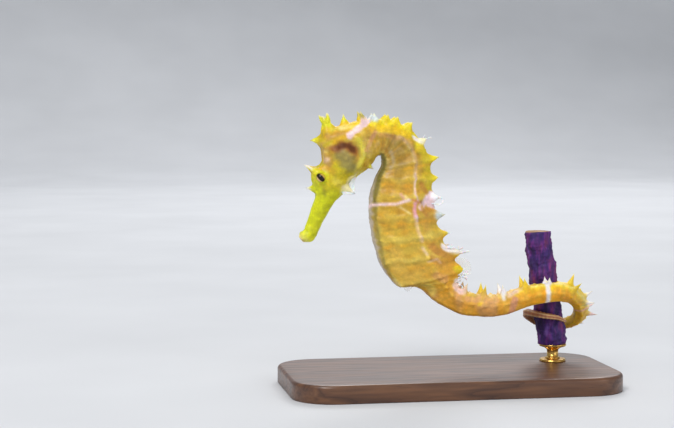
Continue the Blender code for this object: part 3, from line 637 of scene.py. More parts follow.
def from_perch(turn):
    """The direction away from the branch's axis, at a turn from its front in radians."""
    turn = np.asarray(turn, float)[..., None]
    return np.sin(turn) * PERCH_RIGHT + np.cos(turn) * PERCH_FRONT


def tail_frames():
    """Middle, back and side vectors of the free tail and of its grip on the branch."""
    middles = [np.array((x, 0.0, z)) for x, z, _, _ in FREE_TAIL]
    sizes = [(depth, width) for _, _, depth, width in FREE_TAIL]
    backs = [np.array((0.0, 0.0, 1.0)) for _ in FREE_TAIL]
    for turn, height, distance, radius in GRIP:
        middle = perch_axis(height) + distance * from_perch(math.radians(turn))
        outward = unit(middle - perch_axis(middle[2]))
        roll = math.radians(90.0) * smooth_step(0.0, 90.0, turn)
        middles.append(middle)
        sizes.append((radius, radius))
        backs.append(math.cos(roll) * np.array((0.0, 0.0, 1.0)) + math.sin(roll) * outward)
    frames = []
    for i, (middle, back, size) in enumerate(zip(middles, backs, sizes)):
        ahead = unit(middles[min(i + 1, len(middles) - 1)] - middles[max(i - 1, 0)])
        back = unit(back - ahead * float(back @ ahead))
        side = unit(np.cross(ahead, back))
        frames.append((middle, back * size[0], side * size[1]))
    return frames


def body_frames():
    """Middle, back and side vectors of every section, from the mouth to the tail's tip."""
    frames = []
    for _, back_x, back_z, belly_x, belly_z, width in BODY:
        back = np.array((back_x, 0.0, back_z))
        belly = np.array((belly_x, 0.0, belly_z))
        frames.append(((back + belly) / 2, (back - belly) / 2, np.array((0.0, -width, 0.0))))
    return frames + tail_frames()


MIDDLES, BACKS, SIDES = (np.array(part) for part in zip(*body_frames()))
PLACES = {row[0]: i for i, row in enumerate(BODY)}
TAIL_START = PLACES["tail_root"]
TAIL_END = len(MIDDLES) - 1


def tail_rings():
    """The place of each tail ring. Their spacing shrinks with the tail's radius."""
    places = np.linspace(TAIL_START, TAIL_END, 800)
    steps = np.linalg.norm(np.diff(curve_at(MIDDLES, places), axis=0), axis=1)
    lengths = np.concatenate(([0.0], np.cumsum(steps)))
    rings, along = [], TAIL_RING_START
    while along < lengths[-1] - 0.8:
        place = float(np.interp(along, lengths, places))
        rings.append(place)
        radius = float(np.linalg.norm(curve_at(BACKS, place)))
        along += min(TAIL_RING_LONGEST, TAIL_RING_SPACING * radius)
    return rings


# Ring 0 is the shoulder, 1 to 11 are the trunk's, 12 and 13 lie on the tail's root, and
# the tail's own follow.
FIRST_TAIL_RING = 14
RINGS = np.array(
    [*range(PLACES["shoulder"], PLACES["anal_ring"] + 1), TAIL_START + 0.1, *tail_rings()], float
)


def ring_number(places):
    """Places as ring numbers with fractions. Before the shoulder they are negative."""
    numbers = np.interp(places, RINGS, np.arange(len(RINGS)))
    before = np.minimum(np.asarray(places, float) - RINGS[0], 0.0)
    return numbers + before


def ring_place(number):
    """The place of a ring number, fractions and negative numbers included."""
    return float(np.interp(number, np.arange(len(RINGS)), RINGS) + min(number, 0.0))


def seven_corners(corners):
    """The ridge corners all round, keel first, as an array of (back, side)."""
    left = np.array(corners)
    return np.concatenate([left, left[:0:-1] * (1.0, -1.0)])


def corners_at(places):
    """The seven ridge corners at each place, in half depths and half widths."""
    to_trunk = smooth_step(PLACES["crown"], PLACES["ring_2"], places)[:, None, None]
    to_tail = smooth_step(PLACES["anal_ring"], TAIL_START + 3, places)[:, None, None]
    at_end = smooth_step(PLACES["ring_9"], PLACES["ring_11"], places)[:, None, None]
    trunk = blend(seven_corners(TRUNK_CORNERS), seven_corners(LOW_TRUNK_CORNERS), at_end)
    trunk = blend(seven_corners(HEAD_CORNERS), trunk, to_trunk)
    return blend(trunk, seven_corners(TAIL_CORNERS), to_tail)


def panelled_outline(corners, girths, rounding):
    """The section as straight panels that meet in rounded corners.

    rounding is the share of each panel, counted from its ends, that a rounded corner takes.
    """
    i = np.floor(girths).astype(int) % GIRTHS
    share = (girths - np.floor(girths))[None, :, None]
    start, end = corners[:, i], corners[:, (i + 1) % GIRTHS]
    before, beyond = corners[:, i - 1], corners[:, (i + 2) % GIRTHS]
    own = rounding[:, i, None]
    bend_in = blend(start, before, rounding[:, i - 1, None])
    bend_out = blend(end, beyond, rounding[:, (i + 1) % GIRTHS, None])
    first = bezier(bend_in, start, blend(start, end, own), 0.5 + 0.5 * np.minimum(share / own, 1.0))
    last = bezier(blend(end, start, own), end, bend_out, 0.5 - 0.5 * np.minimum((1.0 - share) / own, 1.0))
    outline = blend(start, end, share)
    outline = np.where(share < own, first, outline)
    return np.where(share > 1.0 - own, last, outline)


def bezier(start, middle, end, share):
    return (1.0 - share) ** 2 * start + 2.0 * share * (1.0 - share) * middle + share**2 * end


def round_outline(corners, girths):
    """The section as one smooth closed curve through its corners, with swollen panels."""
    after = np.roll(corners, -1, axis=1)
    wide = np.linalg.norm(after - corners, axis=-1, keepdims=True) > 0.7
    between = (corners + after) / 2 * np.where(wide, 1.0 + HEAD_BULGE, 1.03)
    knots = np.stack([corners, between], axis=2).reshape(len(corners), 2 * GIRTHS, 2)
    i = np.floor(girths * 2).astype(int)
    near = [knots[:, (i + k) % (2 * GIRTHS)] for k in (-1, 0, 1, 2)]
    return catmull_rom(*near, (girths * 2 - i)[None, :, None])


def plain_surface(places, girths):
    """The body's surface before any relief, as (places, girths, 3)."""
    places = np.atleast_1d(np.asarray(places, float))
    girths = np.atleast_1d(np.asarray(girths, float))
    corners = corners_at(places)
    ridged = smooth_step(PLACES["crown"], PLACES["ring_2"], places)[:, None, None]
    middle, back, side = (curve_at(v, places)[:, None] for v in (MIDDLES, BACKS, SIDES))
    size = np.stack([np.linalg.norm(back, axis=-1), np.linalg.norm(side, axis=-1)], axis=-1)
    panel = np.linalg.norm((np.roll(corners, -1, axis=1) - corners) * size, axis=-1)
    on_tail = smooth_step(TAIL_START, TAIL_START + 3, places)[:, None]
    reach = RIDGE_ROUNDING * np.minimum(1.0, size[..., 1] / 4.0) * blend(1.0, 1.7, on_tail)
    rounding = np.minimum(0.45, reach / panel)
    panelled = panelled_outline(corners, girths, rounding)
    outline = blend(round_outline(corners, girths), panelled, ridged)
    return middle + outline[..., :1] * back + outline[..., 1:] * side


def surface_point(place, girth):
    return plain_surface(place, girth)[0, 0]


# ---------------------------------------------------------------- the skin


def skin_columns():
    """The girth of each column, closest together beside the ridges."""
    girths = []
    for panel, steps in enumerate(GIRTH_STEPS):
        even = np.arange(steps) / steps
        girths.extend(panel + blend(even, (1.0 - np.cos(math.pi * even)) / 2, 0.5))
    return np.array(girths)


def skin_rows():
    """The place of each row: close together on the head, on ring crests and on the thin tail."""
    fine = np.linspace(0.0, TAIL_END, 9000)
    middle, back, side = (curve_at(v, fine) for v in (MIDDLES, BACKS, SIDES))
    length = np.linalg.norm(np.diff(middle, axis=0), axis=1)
    length = 0.5 * (length + np.linalg.norm(np.diff(middle + back, axis=0), axis=1))
    radius = np.linalg.norm(side, axis=1)
    number = ring_number(fine)
    on_crest = hump(number - np.round(number), 0.13) * (number > -0.3)
    on_head = smooth_step(PLACES["nape_rear"], PLACES["nape"], fine)
    step = ROW_STEP * (1.0 - 0.42 * on_crest) * (1.0 - 0.22 * on_head)
    step *= np.clip(0.34 + 0.26 * radius, 0.4, 1.0)
    count = np.concatenate(([0.0], np.cumsum(length / step[1:])))
    return np.interp(np.linspace(0.0, count[-1], int(round(count[-1])) + 1), count, fine)


def grid_normals(points, reach=2):
    """Outward directions of a closed tube of points, smoothed over a few columns."""
    across = np.roll(points, -reach, axis=1) - np.roll(points, reach, axis=1)
    along = np.gradient(points, axis=0)
    normals = np.cross(across, along)
    normals /= np.maximum(np.linalg.norm(normals, axis=-1, keepdims=True), 1e-9)
    outwards = points - points.mean(axis=1, keepdims=True)
    flip = np.sign((normals * outwards).sum(axis=(1, 2)))
    return normals * flip[:, None, None]


class Skin:
    """The body's skin as a grid of points, with what the relief and the colours need."""

    def __init__(self):
        self.places = skin_rows()
        self.place = self.places[:, None]
        self.girths = skin_columns()
        self.girth = np.minimum(self.girths, GIRTHS - self.girths)[None, :]
        self.number = ring_number(self.places)[:, None]
        self.plain = self.eased_behind_trunk(plain_surface(self.places, self.girths))
        self.normals = grid_normals(self.plain)
        self.points = self.plain.copy()
        self.radius = np.linalg.norm(curve_at(SIDES, self.places), axis=1)[:, None]
        self.tip = np.zeros(self.plain.shape[:2])
        self.tips = {}
        self.behind_head = smooth_step(PLACES["nape_rear"] + 0.3, PLACES["shoulder"] + 0.6, self.place)
        self.belly = smooth_step(1.0, 0.75, self.girth)
        self.on_back = smooth_step(1.1, 0.8, np.abs(self.girths - MID_BACK))[None, :]
        self.measure_rings()
        self.measure_ridges()

    def after(self, start, full):
        """0 up to one ring number and 1 from another."""
        return smooth_step(start, full, self.number)

    def before(self, full, end):
        """1 up to one ring number and 0 from another."""
        return smooth_step(end, full, self.number)

    def eased_behind_trunk(self, points):
        """Evens out the rows where the trunk's last section turns into the tail's."""
        share = self.after(10.8, 11.8) * self.before(12.6, 14.0)
        for _ in range(EASING_STEPS):
            neighbours = (np.roll(points, 1, axis=0) + np.roll(points, -1, axis=0)) / 2
            points = blend(points, neighbours, 0.5 * share[..., None])
        return points

    def measure_rings(self):
        """How far each row is from its ring's crest, and how much it is on the crest."""
        wavy = 0.07 * ripple(self.plain, 4.5, seed=14) * self.after(4.0, 7.0)
        self.phase = self.number - np.round(self.number) + wavy * (self.number < 13.0)
        spacing = np.linalg.norm(np.gradient(self.plain.mean(axis=1), axis=0), axis=1)[:, None]
        spacing = spacing / np.maximum(np.abs(np.gradient(self.number[:, 0]))[:, None], 1e-6)
        width = np.minimum(RIB_WIDTH, 0.20 * spacing)
        strength = blend(0.28, 0.95, self.after(3.0, 6.5))
        strength *= blend(1.0, 0.45, self.after(9.0, 11.0))
        strength *= blend(1.0, 0.3, self.after(11.2, 12.5))
        self.rib = hump(self.phase * spacing, width) * self.behind_head * strength

    def measure_ridges(self):
        """How far across its panel each column is, and how much it is on a ridge's crest."""
        panel = np.floor(self.girths).astype(int) % GIRTHS
        share = self.girths - np.floor(self.girths)
        corners = plain_surface(self.places, np.arange(GIRTHS))
        length = np.linalg.norm(np.roll(corners, -1, axis=1) - corners, axis=-1)[:, panel]
        from_ridge = np.minimum(share, 1.0 - share)[None, :] * length
        width = np.minimum(RIDGE_WIDTH, 0.2 * self.radius)
        self.ridge = hump(from_ridge, width) * self.behind_head
        self.share = share[None, :]

    def raise_by(self, height):
        self.points += self.normals * np.asarray(height)[..., None]


def shape_rings(skin):
    """Raised rings and ridges with sunken plates between them."""
    uneven = 1.0 + 0.35 * ripple(skin.plain, 5.0, seed=10)
    between = (1.0 - skin.rib) * skin.behind_head * uneven
    skin.raise_by(-GROOVE_DEPTH * skin.radius * between * (1.0 - 0.75 * skin.belly))
    plate = between * (1.0 - skin.ridge) * (1.0 - skin.belly)
    skin.raise_by(-WINDOW_DEPTH * skin.radius * plate)
    skin.raise_by(RIDGE_HEIGHT * skin.radius * skin.ridge * (0.25 + 0.75 * skin.rib))
    swell = np.sin(math.pi * skin.share) * skin.behind_head * skin.before(11.0, 14.0)
    skin.raise_by(PANEL_SWELL * skin.radius * swell * skin.after(1.0, 3.0))
    crease = np.cos(skin.phase * 2.0 * math.pi * CREASES) * between
    crease *= skin.after(4.5, 7.0) * skin.before(10.5, 12.0)
    skin.raise_by(CREASE_DEPTH * skin.radius * crease)
    below_trunk = hump(skin.number - 12.1, 0.8) * smooth_step(0.8, 1.6, skin.girth)
    below_trunk = below_trunk * smooth_step(3.2, 2.4, skin.girth)
    skin.raise_by(VENT_FILL * below_trunk)


def shape_unevenness(skin):
    """The soft unevenness of living skin, and small warts along the ridges."""
    share = np.minimum(1.0, skin.radius / 3.0) * blend(1.0, 0.5, skin.after(11.0, 14.0))
    for size, height, seed in SOFT_LUMPS:
        skin.raise_by(height * share * ripple(skin.plain, size, seed))
    warts = np.clip(ripple(skin.plain, WART_SIZE, seed=13) - 0.55, 0.0, 1.0)
    warts = warts * blend(0.25, 1.0, skin.behind_head)
    skin.raise_by(WART_HEIGHT * share * warts * (0.35 + 0.65 * skin.ridge))


def on_flank(skin, path):
    """Distance of each point of the head's sides to a path of points (x, z) on its flank."""
    distance = distance_to_path(skin.plain[..., [0, 2]], path)
    return distance + 4.0 * (np.abs(skin.normals[..., 1]) < 0.12)


def shape_head(skin):
    """Ridges, gill cover, gill opening and snout."""
    sideways = smooth_step(0.1, 0.5, np.abs(skin.normals[..., 1]))
    x, y, z = np.moveaxis(skin.plain, -1, 0)
    for path, height, width in HEAD_RIDGES:
        skin.raise_by(height * hump(on_flank(skin, path), width))
    from_cover = np.hypot(x - GILL_COVER[0], (z - GILL_COVER[1]) * 0.9) / GILL_COVER_RADIUS
    dome = smooth_step(1.12, 0.35, from_cover) * sideways
    skin.raise_by(GILL_COVER_HEIGHT * dome - 0.05 * hump(from_cover - 1.05, 0.12) * sideways)
    fan_x, fan_z = x - GILL_FAN[0], z - GILL_FAN[1]
    streaks = np.cos(np.arctan2(fan_z, fan_x) * GILL_STREAKS) * dome
    skin.raise_by(GILL_STREAK_HEIGHT * streaks * smooth_step(0.5, 2.0, np.hypot(fan_x, fan_z)))
    skin.raise_by(GILL_RIM_HEIGHT * hump(on_flank(skin, GILL_RIM), 0.62) * sideways)
    skin.raise_by(-GILL_HOLLOW_DEPTH * hump(on_flank(skin, GILL_HOLLOW), 0.85) * sideways)
    forehead = smooth_step(44.5, 46.5, z) * smooth_step(55.0, 53.0, z) * (skin.normals[..., 0] < -0.5)
    skin.raise_by(-FOREHEAD_HOLLOW * hump(y, 0.9) * forehead)
    throat = hump(skin.place - PLACES["snout_base"] - 0.6, 0.9) * smooth_step(1.4, 0.2, skin.girth)
    skin.raise_by(-THROAT_HOLLOW * throat)
    lips = hump(skin.place - PLACES["lips"] + 0.15, 0.5)
    behind_lips = hump(skin.place - PLACES["snout_end"], 0.4)
    skin.raise_by(0.10 * lips - 0.06 * behind_lips)


def eye_axes():
    """Outward, slanted and crosswise directions of the left eye."""
    outward = unit(EYE_AXIS)
    slant = unit(np.array(EYE_SLANT) - (np.array(EYE_SLANT) @ outward) * outward)
    return outward, slant, np.cross(outward, slant)


def mesh_arrays(mesh):
    """A mesh's points in millimetres, and their painted colours."""
    points = np.zeros(len(mesh.vertices) * 3)
    mesh.vertices.foreach_get("co", points)
    paint = np.zeros(len(mesh.vertices) * 4)
    mesh.attributes["paint"].data.foreach_get("color", paint)
    return points.reshape(-1, 3) / MM, paint.reshape(-1, 4)


def store_arrays(mesh, points, paint):
    mesh.vertices.foreach_set("co", (points * MM).ravel())
    mesh.attributes["paint"].data.foreach_set("color", paint.ravel())
    mesh.update()


def refine(mesh):
    """Splits the mesh twice round the eyes and the crown, which need it."""
    centres = [Vector(place) * MM for place in (EYE_PLACE, mirrored(EYE_PLACE), CROWN_BASE)]
    work = bmesh.new()
    work.from_mesh(mesh)
    for reach in (2.5, 1.8):
        close = {v for v in work.verts if min((v.co - c).length for c in centres) < reach * MM}
        edges = [e for e in work.edges if e.verts[0] in close and e.verts[1] in close]
        bmesh.ops.subdivide_edges(work, edges=edges, cuts=1, use_grid_fill=True)
    work.to_mesh(mesh)
    work.free()


def lid_height(ring):
    """How far the lids stand out from the eye's middle, by the distance from its axis."""
    lid_ring = np.clip(ring, LID_OPENING, LID_SHOULDER)
    lid = np.sqrt(LID_RADIUS**2 - lid_ring**2) - LID_SLOPE * np.maximum(ring - LID_SHOULDER, 0.0)
    fold = np.cos((ring - LID_OPENING) * 2.0 * math.pi / LID_FOLD)
    return lid + LID_FOLD_HEIGHT * fold * smooth_step(LID_OPENING, 1.3, ring) * smooth_step(2.6, 1.6, ring)


def paint_points(paint, index, share, colour):
    """Lays a colour over some of the mesh's points."""
    paint[index, :3] = blend(paint[index, :3], linear(colour), share[:, None] * 0.8)


def shape_orbits(mesh):
    """A turret of skin round each eye, whose lids lie close over the eyeball."""
    points, paint = mesh_arrays(mesh)
    outward, slant, cross = eye_axes()
    centre = np.array(EYE_PLACE)
    for side in (1.0, -1.0):
        flip = np.array((1.0, side, 1.0))
        index = np.where(np.linalg.norm(points * flip - centre, axis=1) < 4.2)[0]
        off = points[index] * flip - centre
        up, along, across = off @ outward, off @ slant, off @ cross
        ring = np.hypot(along / LID_STRETCH, across * LID_STRETCH)
        facing = smooth_step(-2.1, -0.5, up)
        on_rim = (np.abs(ring - LID_OPENING) < LID_SNAP) & (up > 0.0)
        snap = np.where(on_rim, LID_OPENING / np.maximum(ring, 0.1), 1.0)
        off = up[:, None] * outward + snap[:, None] * (along[:, None] * slant + across[:, None] * cross)
        ring = ring * snap
        lid = lid_height(ring)
        raised = 0.5 * (up + lid + np.sqrt((up - lid) ** 2 + 0.10))
        edge = math.sqrt(LID_RADIUS**2 - LID_OPENING**2)
        wall = np.maximum(edge - LID_WALL * (LID_OPENING - ring), -0.3)
        height = np.where(ring < LID_OPENING - 1e-6, wall, raised)
        change = (height - up) * smooth_step(3.6, 1.9, ring) * facing
        points[index] = (off + change[:, None] * outward + centre) * flip
        # Painted shade: a dark brown rim along the lids' edge, where the skin drops to the eyeball
        rim = smooth_step(LID_OPENING + 0.10, LID_OPENING, ring) * facing * 0.5
        paint_points(paint, index, rim, BROWN)
        streak = 0.5 + 0.5 * np.cos(np.arctan2(across, along) * 13.0)
        streaks = smooth_step(1.1, 1.4, ring) * smooth_step(2.6, 1.7, ring) * streak * facing * 0.22
        paint_points(paint, index, streaks, ORANGE)
    store_arrays(mesh, points, paint)


def dent(skin, point, radius, depth):
    """A small hollow on the left and its mirror image on the right."""
    for place in (point, mirrored(point)):
        near = hump(np.linalg.norm(skin.points - np.array(place), axis=-1), radius)
        skin.raise_by(-depth * near)


def add_spine(skin, base, tip, radius, power=SPINE_POWER, along=1.0):
    """Draws the skin out to a spine's tip. along above 1 stretches its foot along the body."""
    base = np.asarray(base, float)
    tip = np.asarray(tip, float)
    paleness = float(smooth_step(0.35, 1.1, np.linalg.norm(tip - base)))
    rows = np.where(np.linalg.norm(skin.plain.mean(axis=1) - base, axis=1) < SPINE_SEARCH)[0]
    window = slice(rows[0], rows[-1] + 1)
    points = skin.points[window]
    axis = unit(tip - base)
    off = points - base
    height = off @ axis
    reach = np.linalg.norm(off - height[..., None] * axis, axis=-1) + 0.15 * np.abs(height)
    nearest = np.unravel_index(np.argmin(reach + 10.0 * (height < -3.0)), reach.shape)
    foot = points[nearest]
    place = skin.places[window][nearest[0]]
    ahead = unit(curve_at(MIDDLES, min(place + 0.1, TAIL_END)) - curve_at(MIDDLES, place - 0.1))
    spread = points - foot
    lengthwise = spread @ ahead
    spread = spread - (lengthwise * (1.0 - 1.0 / along))[..., None] * ahead
    near = np.clip(1.0 - np.linalg.norm(spread, axis=-1) / radius, 0.0, 1.0)
    share = near**power
    rough = 0.30 * share * (1.0 - share) * ripple(points, 0.9, seed=21)
    share = np.clip(share + rough, 0.0, 1.0)
    skin.points[window] = points + share[..., None] * (tip - foot)
    skin.tip[window] = np.maximum(skin.tip[window], share * paleness)


def ridge_spine(skin, number, girth, height, radius, along=1.0, power=SPINE_POWER):
    """A spine on a ridge, leaning away from the other side's."""
    place = ring_place(number)
    corners = TRUNK_CORNERS if number < FIRST_TAIL_RING else TAIL_CORNERS
    to_back, to_side = seven_corners(corners)[girth]
    _, back, side = (curve_at(v, place) for v in (MIDDLES, BACKS, SIDES))
    base = surface_point(place, girth)
    out = unit(to_back * unit(back) + SPINE_SPLAY * to_side * unit(side))
    add_spine(skin, base, base + out * height, radius, power, along)
    skin.tips[number, girth] = base + out * height, out


def shape_spines(skin):
    """Every spine of the neck, trunk and tail."""
    for side in (1, -1):
        superior, lateral = side * SUPERIOR % GIRTHS, side * LATERAL % GIRTHS
        for ring, height in enumerate(BACK_SPINES):
            foot = (SPINE_FOOT + SPINE_FOOT_GROWTH * height) * SPINE_FEET.get(ring, 1.0)
            power = SPINE_POWERS.get(ring, SPINE_POWER)
            apart = TWIN_SPINES.get(ring, 0.0)
            for number in sorted({ring - apart, ring + apart}):
                ridge_spine(skin, number, superior, height, foot, SPINE_STRETCH, power)
            for first_ring, girth, low, narrow, stretch in SMALL_SPINES:
                if ring >= first_ring:
                    ridge_spine(skin, ring, side * girth % GIRTHS, low, narrow, stretch)
        for ring in range(len(BACK_SPINES), FIRST_TAIL_RING):
            for girth, height, foot in ROOT_SPINES:
                ridge_spine(skin, ring, side * girth % GIRTHS, height, foot)
        for ring in range(FIRST_TAIL_RING, len(RINGS)):
            radius = float(np.linalg.norm(curve_at(SIDES, ring_place(ring))))
            knob = TAIL_KNOB * min(1.0, radius / 2.0)
            height = TAIL_SPINES.get(ring - FIRST_TAIL_RING, knob)
            foot = 0.30 * radius + 0.13 * height
            ridge_spine(skin, ring, superior, height, foot, power=TAIL_SPINE_POWER)
            ridge_spine(skin, ring, lateral, 0.05 * radius, 0.3 * radius)


def shape_crown(mesh):
    """The coronet: a column whose rim ends in five points. The two beside the front are lower."""
    points, paint = mesh_arrays(mesh)
    axis = unit(CROWN_AXIS)
    side = np.array((0.0, 1.0, 0.0))
    front = np.cross(axis, side)
    base = np.array(CROWN_BASE)
    index = np.where(np.linalg.norm(points - base, axis=1) < 3.2)[0]
    off = points[index] - base
    up = off @ axis
    flat = off - up[:, None] * axis
    radius = np.linalg.norm(flat, axis=-1)
    turn = np.arctan2(flat @ side, flat @ front)
    point = (0.5 + 0.5 * np.cos(CROWN_POINTS * turn)) ** 1.4
    low_pair = 1.0 - 0.35 * hump(np.abs(turn) - 2.0 * math.pi / CROWN_POINTS, 0.45)
    rim = CROWN_NOTCH + (CROWN_HEIGHT - CROWN_NOTCH) * point * low_pair
    foot = CROWN_RADIUS * 1.75
    wall = smooth_step(foot, 0.62 * CROWN_RADIUS, radius) ** 1.3
    hollow = smooth_step(0.6 * CROWN_RADIUS, 0.0, radius)
    height = rim * wall * (1.0 - 0.30 * hollow)
    lean = CROWN_FLARE * wall**3 * (0.4 + 0.6 * point) * np.minimum(radius / 0.5, 1.0)
    waist = -0.35 * hump(wall - 0.45, 0.22)
    outward = flat / np.maximum(radius, 0.2)[:, None]
    near = (up > -2.0) & (radius < foot)
    change = height[:, None] * axis + (lean + waist)[:, None] * outward
    points[index] += np.where(near[:, None], change, 0.0)
    paint_points(paint, index, smooth_step(0.05, 0.5, wall) * near, LIME)
    paint_points(paint, index, smooth_step(0.6, 0.95, wall * point) * near, PALE_TIP)
    store_arrays(mesh, points, paint)


def shape_head_spines(skin):
    """The spines of the head's middle line, and its pairs of spines."""
    for base, tip, radius in HEAD_SPINES:
        add_spine(skin, base, tip, radius)
        if base[1] != 0.0:
            add_spine(skin, mirrored(base), mirrored(tip), radius)


def build_skin(material):
    """The one skin of the whole body, from the mouth to the tail's tip."""
    skin = Skin()
    shape_rings(skin)
    shape_head(skin)
    shape_unevenness(skin)
    dent(skin, NOSTRIL, NOSTRIL_RADIUS, NOSTRIL_DEPTH)
    shape_head_spines(skin)
    shape_spines(skin)
    grid, colours = add_mouth(skin.points, paint_skin(skin))
    piece = build_tube("skin", grid, material)
    ends = [colours[0].mean(axis=0), colours[-1].mean(axis=0)]
    add_colours(piece.data, "paint", np.concatenate([colours.reshape(-1, 3), ends]))
    add_strips(piece.data, *grid.shape[:2])
    refine(piece.data)
    shape_crown(piece.data)
    shape_orbits(piece.data)
    return piece, skin


def add_mouth(grid, colours):
    """Continues the snout's end over rounded lips and a little way into the mouth."""
    middle = grid[0].mean(axis=0)
    ahead = unit(middle - grid[6].mean(axis=0))
    along_gape = np.cross(ahead, (0.0, 1.0, 0.0))
    off = grid[0] - middle
    lip_colour = blend(colours[0], linear(CREAM), 0.35)
    lips, tones = [], []
    for share, out, dark in reversed(MOUTH):
        squeeze = blend(1.0, MOUTH_FLATNESS, smooth_step(1.0, 0.6, share))
        flat = off - (1.0 - squeeze) * (off @ along_gape)[:, None] * along_gape
        lips.append(middle + share * flat + out * ahead)
        tones.append(blend(lip_colour, linear(MOUTH_DARK), dark))
    return np.concatenate([lips, grid]), np.concatenate([tones, colours])


def add_strips(mesh, rows, columns):
    """A flat layout of the skin: three strips side by side, each a third of its length."""
    layout = mesh.uv_layers.new(name="OFBake").data
    per_strip = math.ceil((rows - 1) / STRIPS)
    spots = []
    for row in range(rows - 1):
        strip, v = divmod(row, per_strip)
        for column in range(columns):
            for c, r in ((0, 0), (1, 0), (1, 1), (0, 1)):
                u = (column + c) / columns
                spots.append(((strip + 0.02 + 0.96 * u) / STRIPS, 0.01 + 0.95 * (v + r) / per_strip))
    for end in range(2):
        for column in range(columns):
            x = (column + 0.5) / columns
            y = 0.975 + 0.01 * end
            spots += [(x, y), (x + 0.4 / columns, y), (x, y + 0.005)]
    layout.foreach_set("uv", np.array(spots).ravel())


# ---------------------------------------------------------------- the skin's markings


def lay(colours, mask, colour):
    """Lays a colour over the skin where the mask is above 0."""
    return blend(colours, np.array(colour, float), np.clip(mask, 0.0, 1.0)[..., None])


def stops(table, value):
    """A colour that changes along a table of (value, colour)."""
    places = [row[0] for row in table]
    colours = np.array([row[1] for row in table], float)
    return np.stack([np.interp(value, places, colours[:, k]) for k in range(3)], axis=-1)


def stripe(points, path, width, seed):
    """1 along a path and 0 beyond its half width, with an uneven edge."""
    uneven = 0.10 * ripple(points, 1.5, seed)
    distance = distance_to_path(points, path) + uneven * min(1.0, width)
    return smooth_step(width + STRIPE_SOFTNESS, width - STRIPE_SOFTNESS, distance)


def body_path(path, side):
    """Points of the plain surface along (ring number, girth) places, on one side."""
    path = np.array(path, float)
    steps = np.linspace(0.0, len(path) - 1.0, 6 * (len(path) - 1) + 1)
    numbers, girths = (np.interp(steps, np.arange(len(path)), path[:, k]) for k in range(2))
    girths = girths if side > 0 else (GIRTHS - girths) % GIRTHS
    return np.array([surface_point(ring_place(n), g) for n, g in zip(numbers, girths)])


def paint_skin(skin):
    """The skin's colour at every point, as linear red, green and blue."""
    number = skin.number + 0.25 * ripple(skin.plain, 6.0, seed=31)
    backness = smooth_step(2.05, 2.75, skin.girth + 0.12 * ripple(skin.plain, 2.2, seed=32))
    colours = blend(stops(FLANK_TINTS, number), stops(BACK_TINTS, number), backness[..., None])
    for paint in (paint_plates, paint_belly, paint_tail, paint_spine_feet, paint_head):
        colours = paint(skin, colours)
    for side in (1, -1):
        for k, (path, width, colour, strength) in enumerate(BODY_MARKS):
            mask = stripe(skin.plain, body_path(path, side), width, seed=60 + k + 40 * (side < 0))
            colours = lay(colours, mask * strength, colour)
    colours = paint_spine_tips(skin, colours)
    mottle = 1.0 + 0.035 * ripple(skin.plain, 1.3, seed=33)[..., None]
    return linear(np.clip(colours * mottle, 0.0, 255.0))


def paint_plates(skin, colours):
    """Light rings and ridges with darker plates between them."""
    girth = skin.girth
    trunk = skin.behind_head
    flank = trunk * (girth > 0.9)
    plate = (1.0 - skin.rib) * (1.0 - skin.ridge)
    patchy = smooth_step(-0.5, 0.9, ripple(skin.plain, 4.2, seed=34))
    colours = lay(colours, 0.42 * plate * patchy * trunk * smooth_step(2.9, 2.2, girth), RUST)
    worn = smooth_step(-0.9, 0.7, ripple(skin.plain, 3.0, seed=36))
    wide_rib = hump(skin.phase + 0.04 * ripple(skin.plain, 2.5, seed=39), 0.2)
    strength = blend(0.26, 0.5, skin.after(8.0, 9.5)) * blend(1.0, 0.4, skin.after(10.0, 11.0))
    colours = lay(colours, strength * wide_rib * blend(0.5, 1.0, worn) * flank, BUTTER)
    beside_rib = hump(skin.phase - 0.30, 0.10) + 0.6 * hump(skin.phase + 0.30, 0.09)
    colours = lay(colours, 0.38 * beside_rib * (1.0 - 0.6 * worn) * flank, ORANGE)
    light_rib = skin.rib * worn * flank * skin.after(4.0, 7.0) * skin.before(10.0, 11.0)
    colours = lay(colours, 0.22 * light_rib, PALE_YELLOW)
    rear = smooth_step(1.5, 2.3, girth) * skin.after(9.5, 11.0) * skin.before(12.5, 14.0)
    colours = lay(colours, 0.45 * rear, ORANGE)
    smudge = smooth_step(0.0, 1.0, ripple(skin.plain, 2.6, seed=41)) * smooth_step(2.2, 1.8, girth)
    colours = lay(colours, 0.40 * smudge * flank * skin.before(5.0, 7.0), TAUPE)
    return lay(colours, 0.28 * skin.ridge * worn * trunk, PALE_YELLOW)


def paint_belly(skin, colours):
    """Olive bands beside the keel, narrower lower down, and pale lilac on the keel, in part painted light
    that brightens the shaded underside.
    """
    girth = skin.girth
    trunk = skin.after(0.5, 2.5) * skin.before(11.0, 12.3) * skin.before(9.8, 11.2)
    upper = skin.before(5.5, 8.5)
    colours = lay(colours, blend(0.4, 0.7, upper) * trunk * smooth_step(1.12, 0.8, girth), GREY_OLIVE)
    edge = blend(0.62, 0.2, upper)
    band = smooth_step(edge, edge + 0.25, girth) * smooth_step(1.06, 0.78, girth)
    colours = lay(colours, blend(0.35, 0.9, upper) * band * trunk, OLIVE)
    # Pale lilac on the keel, in part painted light on the shaded underside.
    keel = smooth_step(0.7, 0.3, girth + 0.1 * ripple(skin.plain, 2.0, seed=37))
    return lay(colours, 0.6 * keel * skin.after(5.0, 7.2) * skin.before(11.5, 12.5), LILAC)


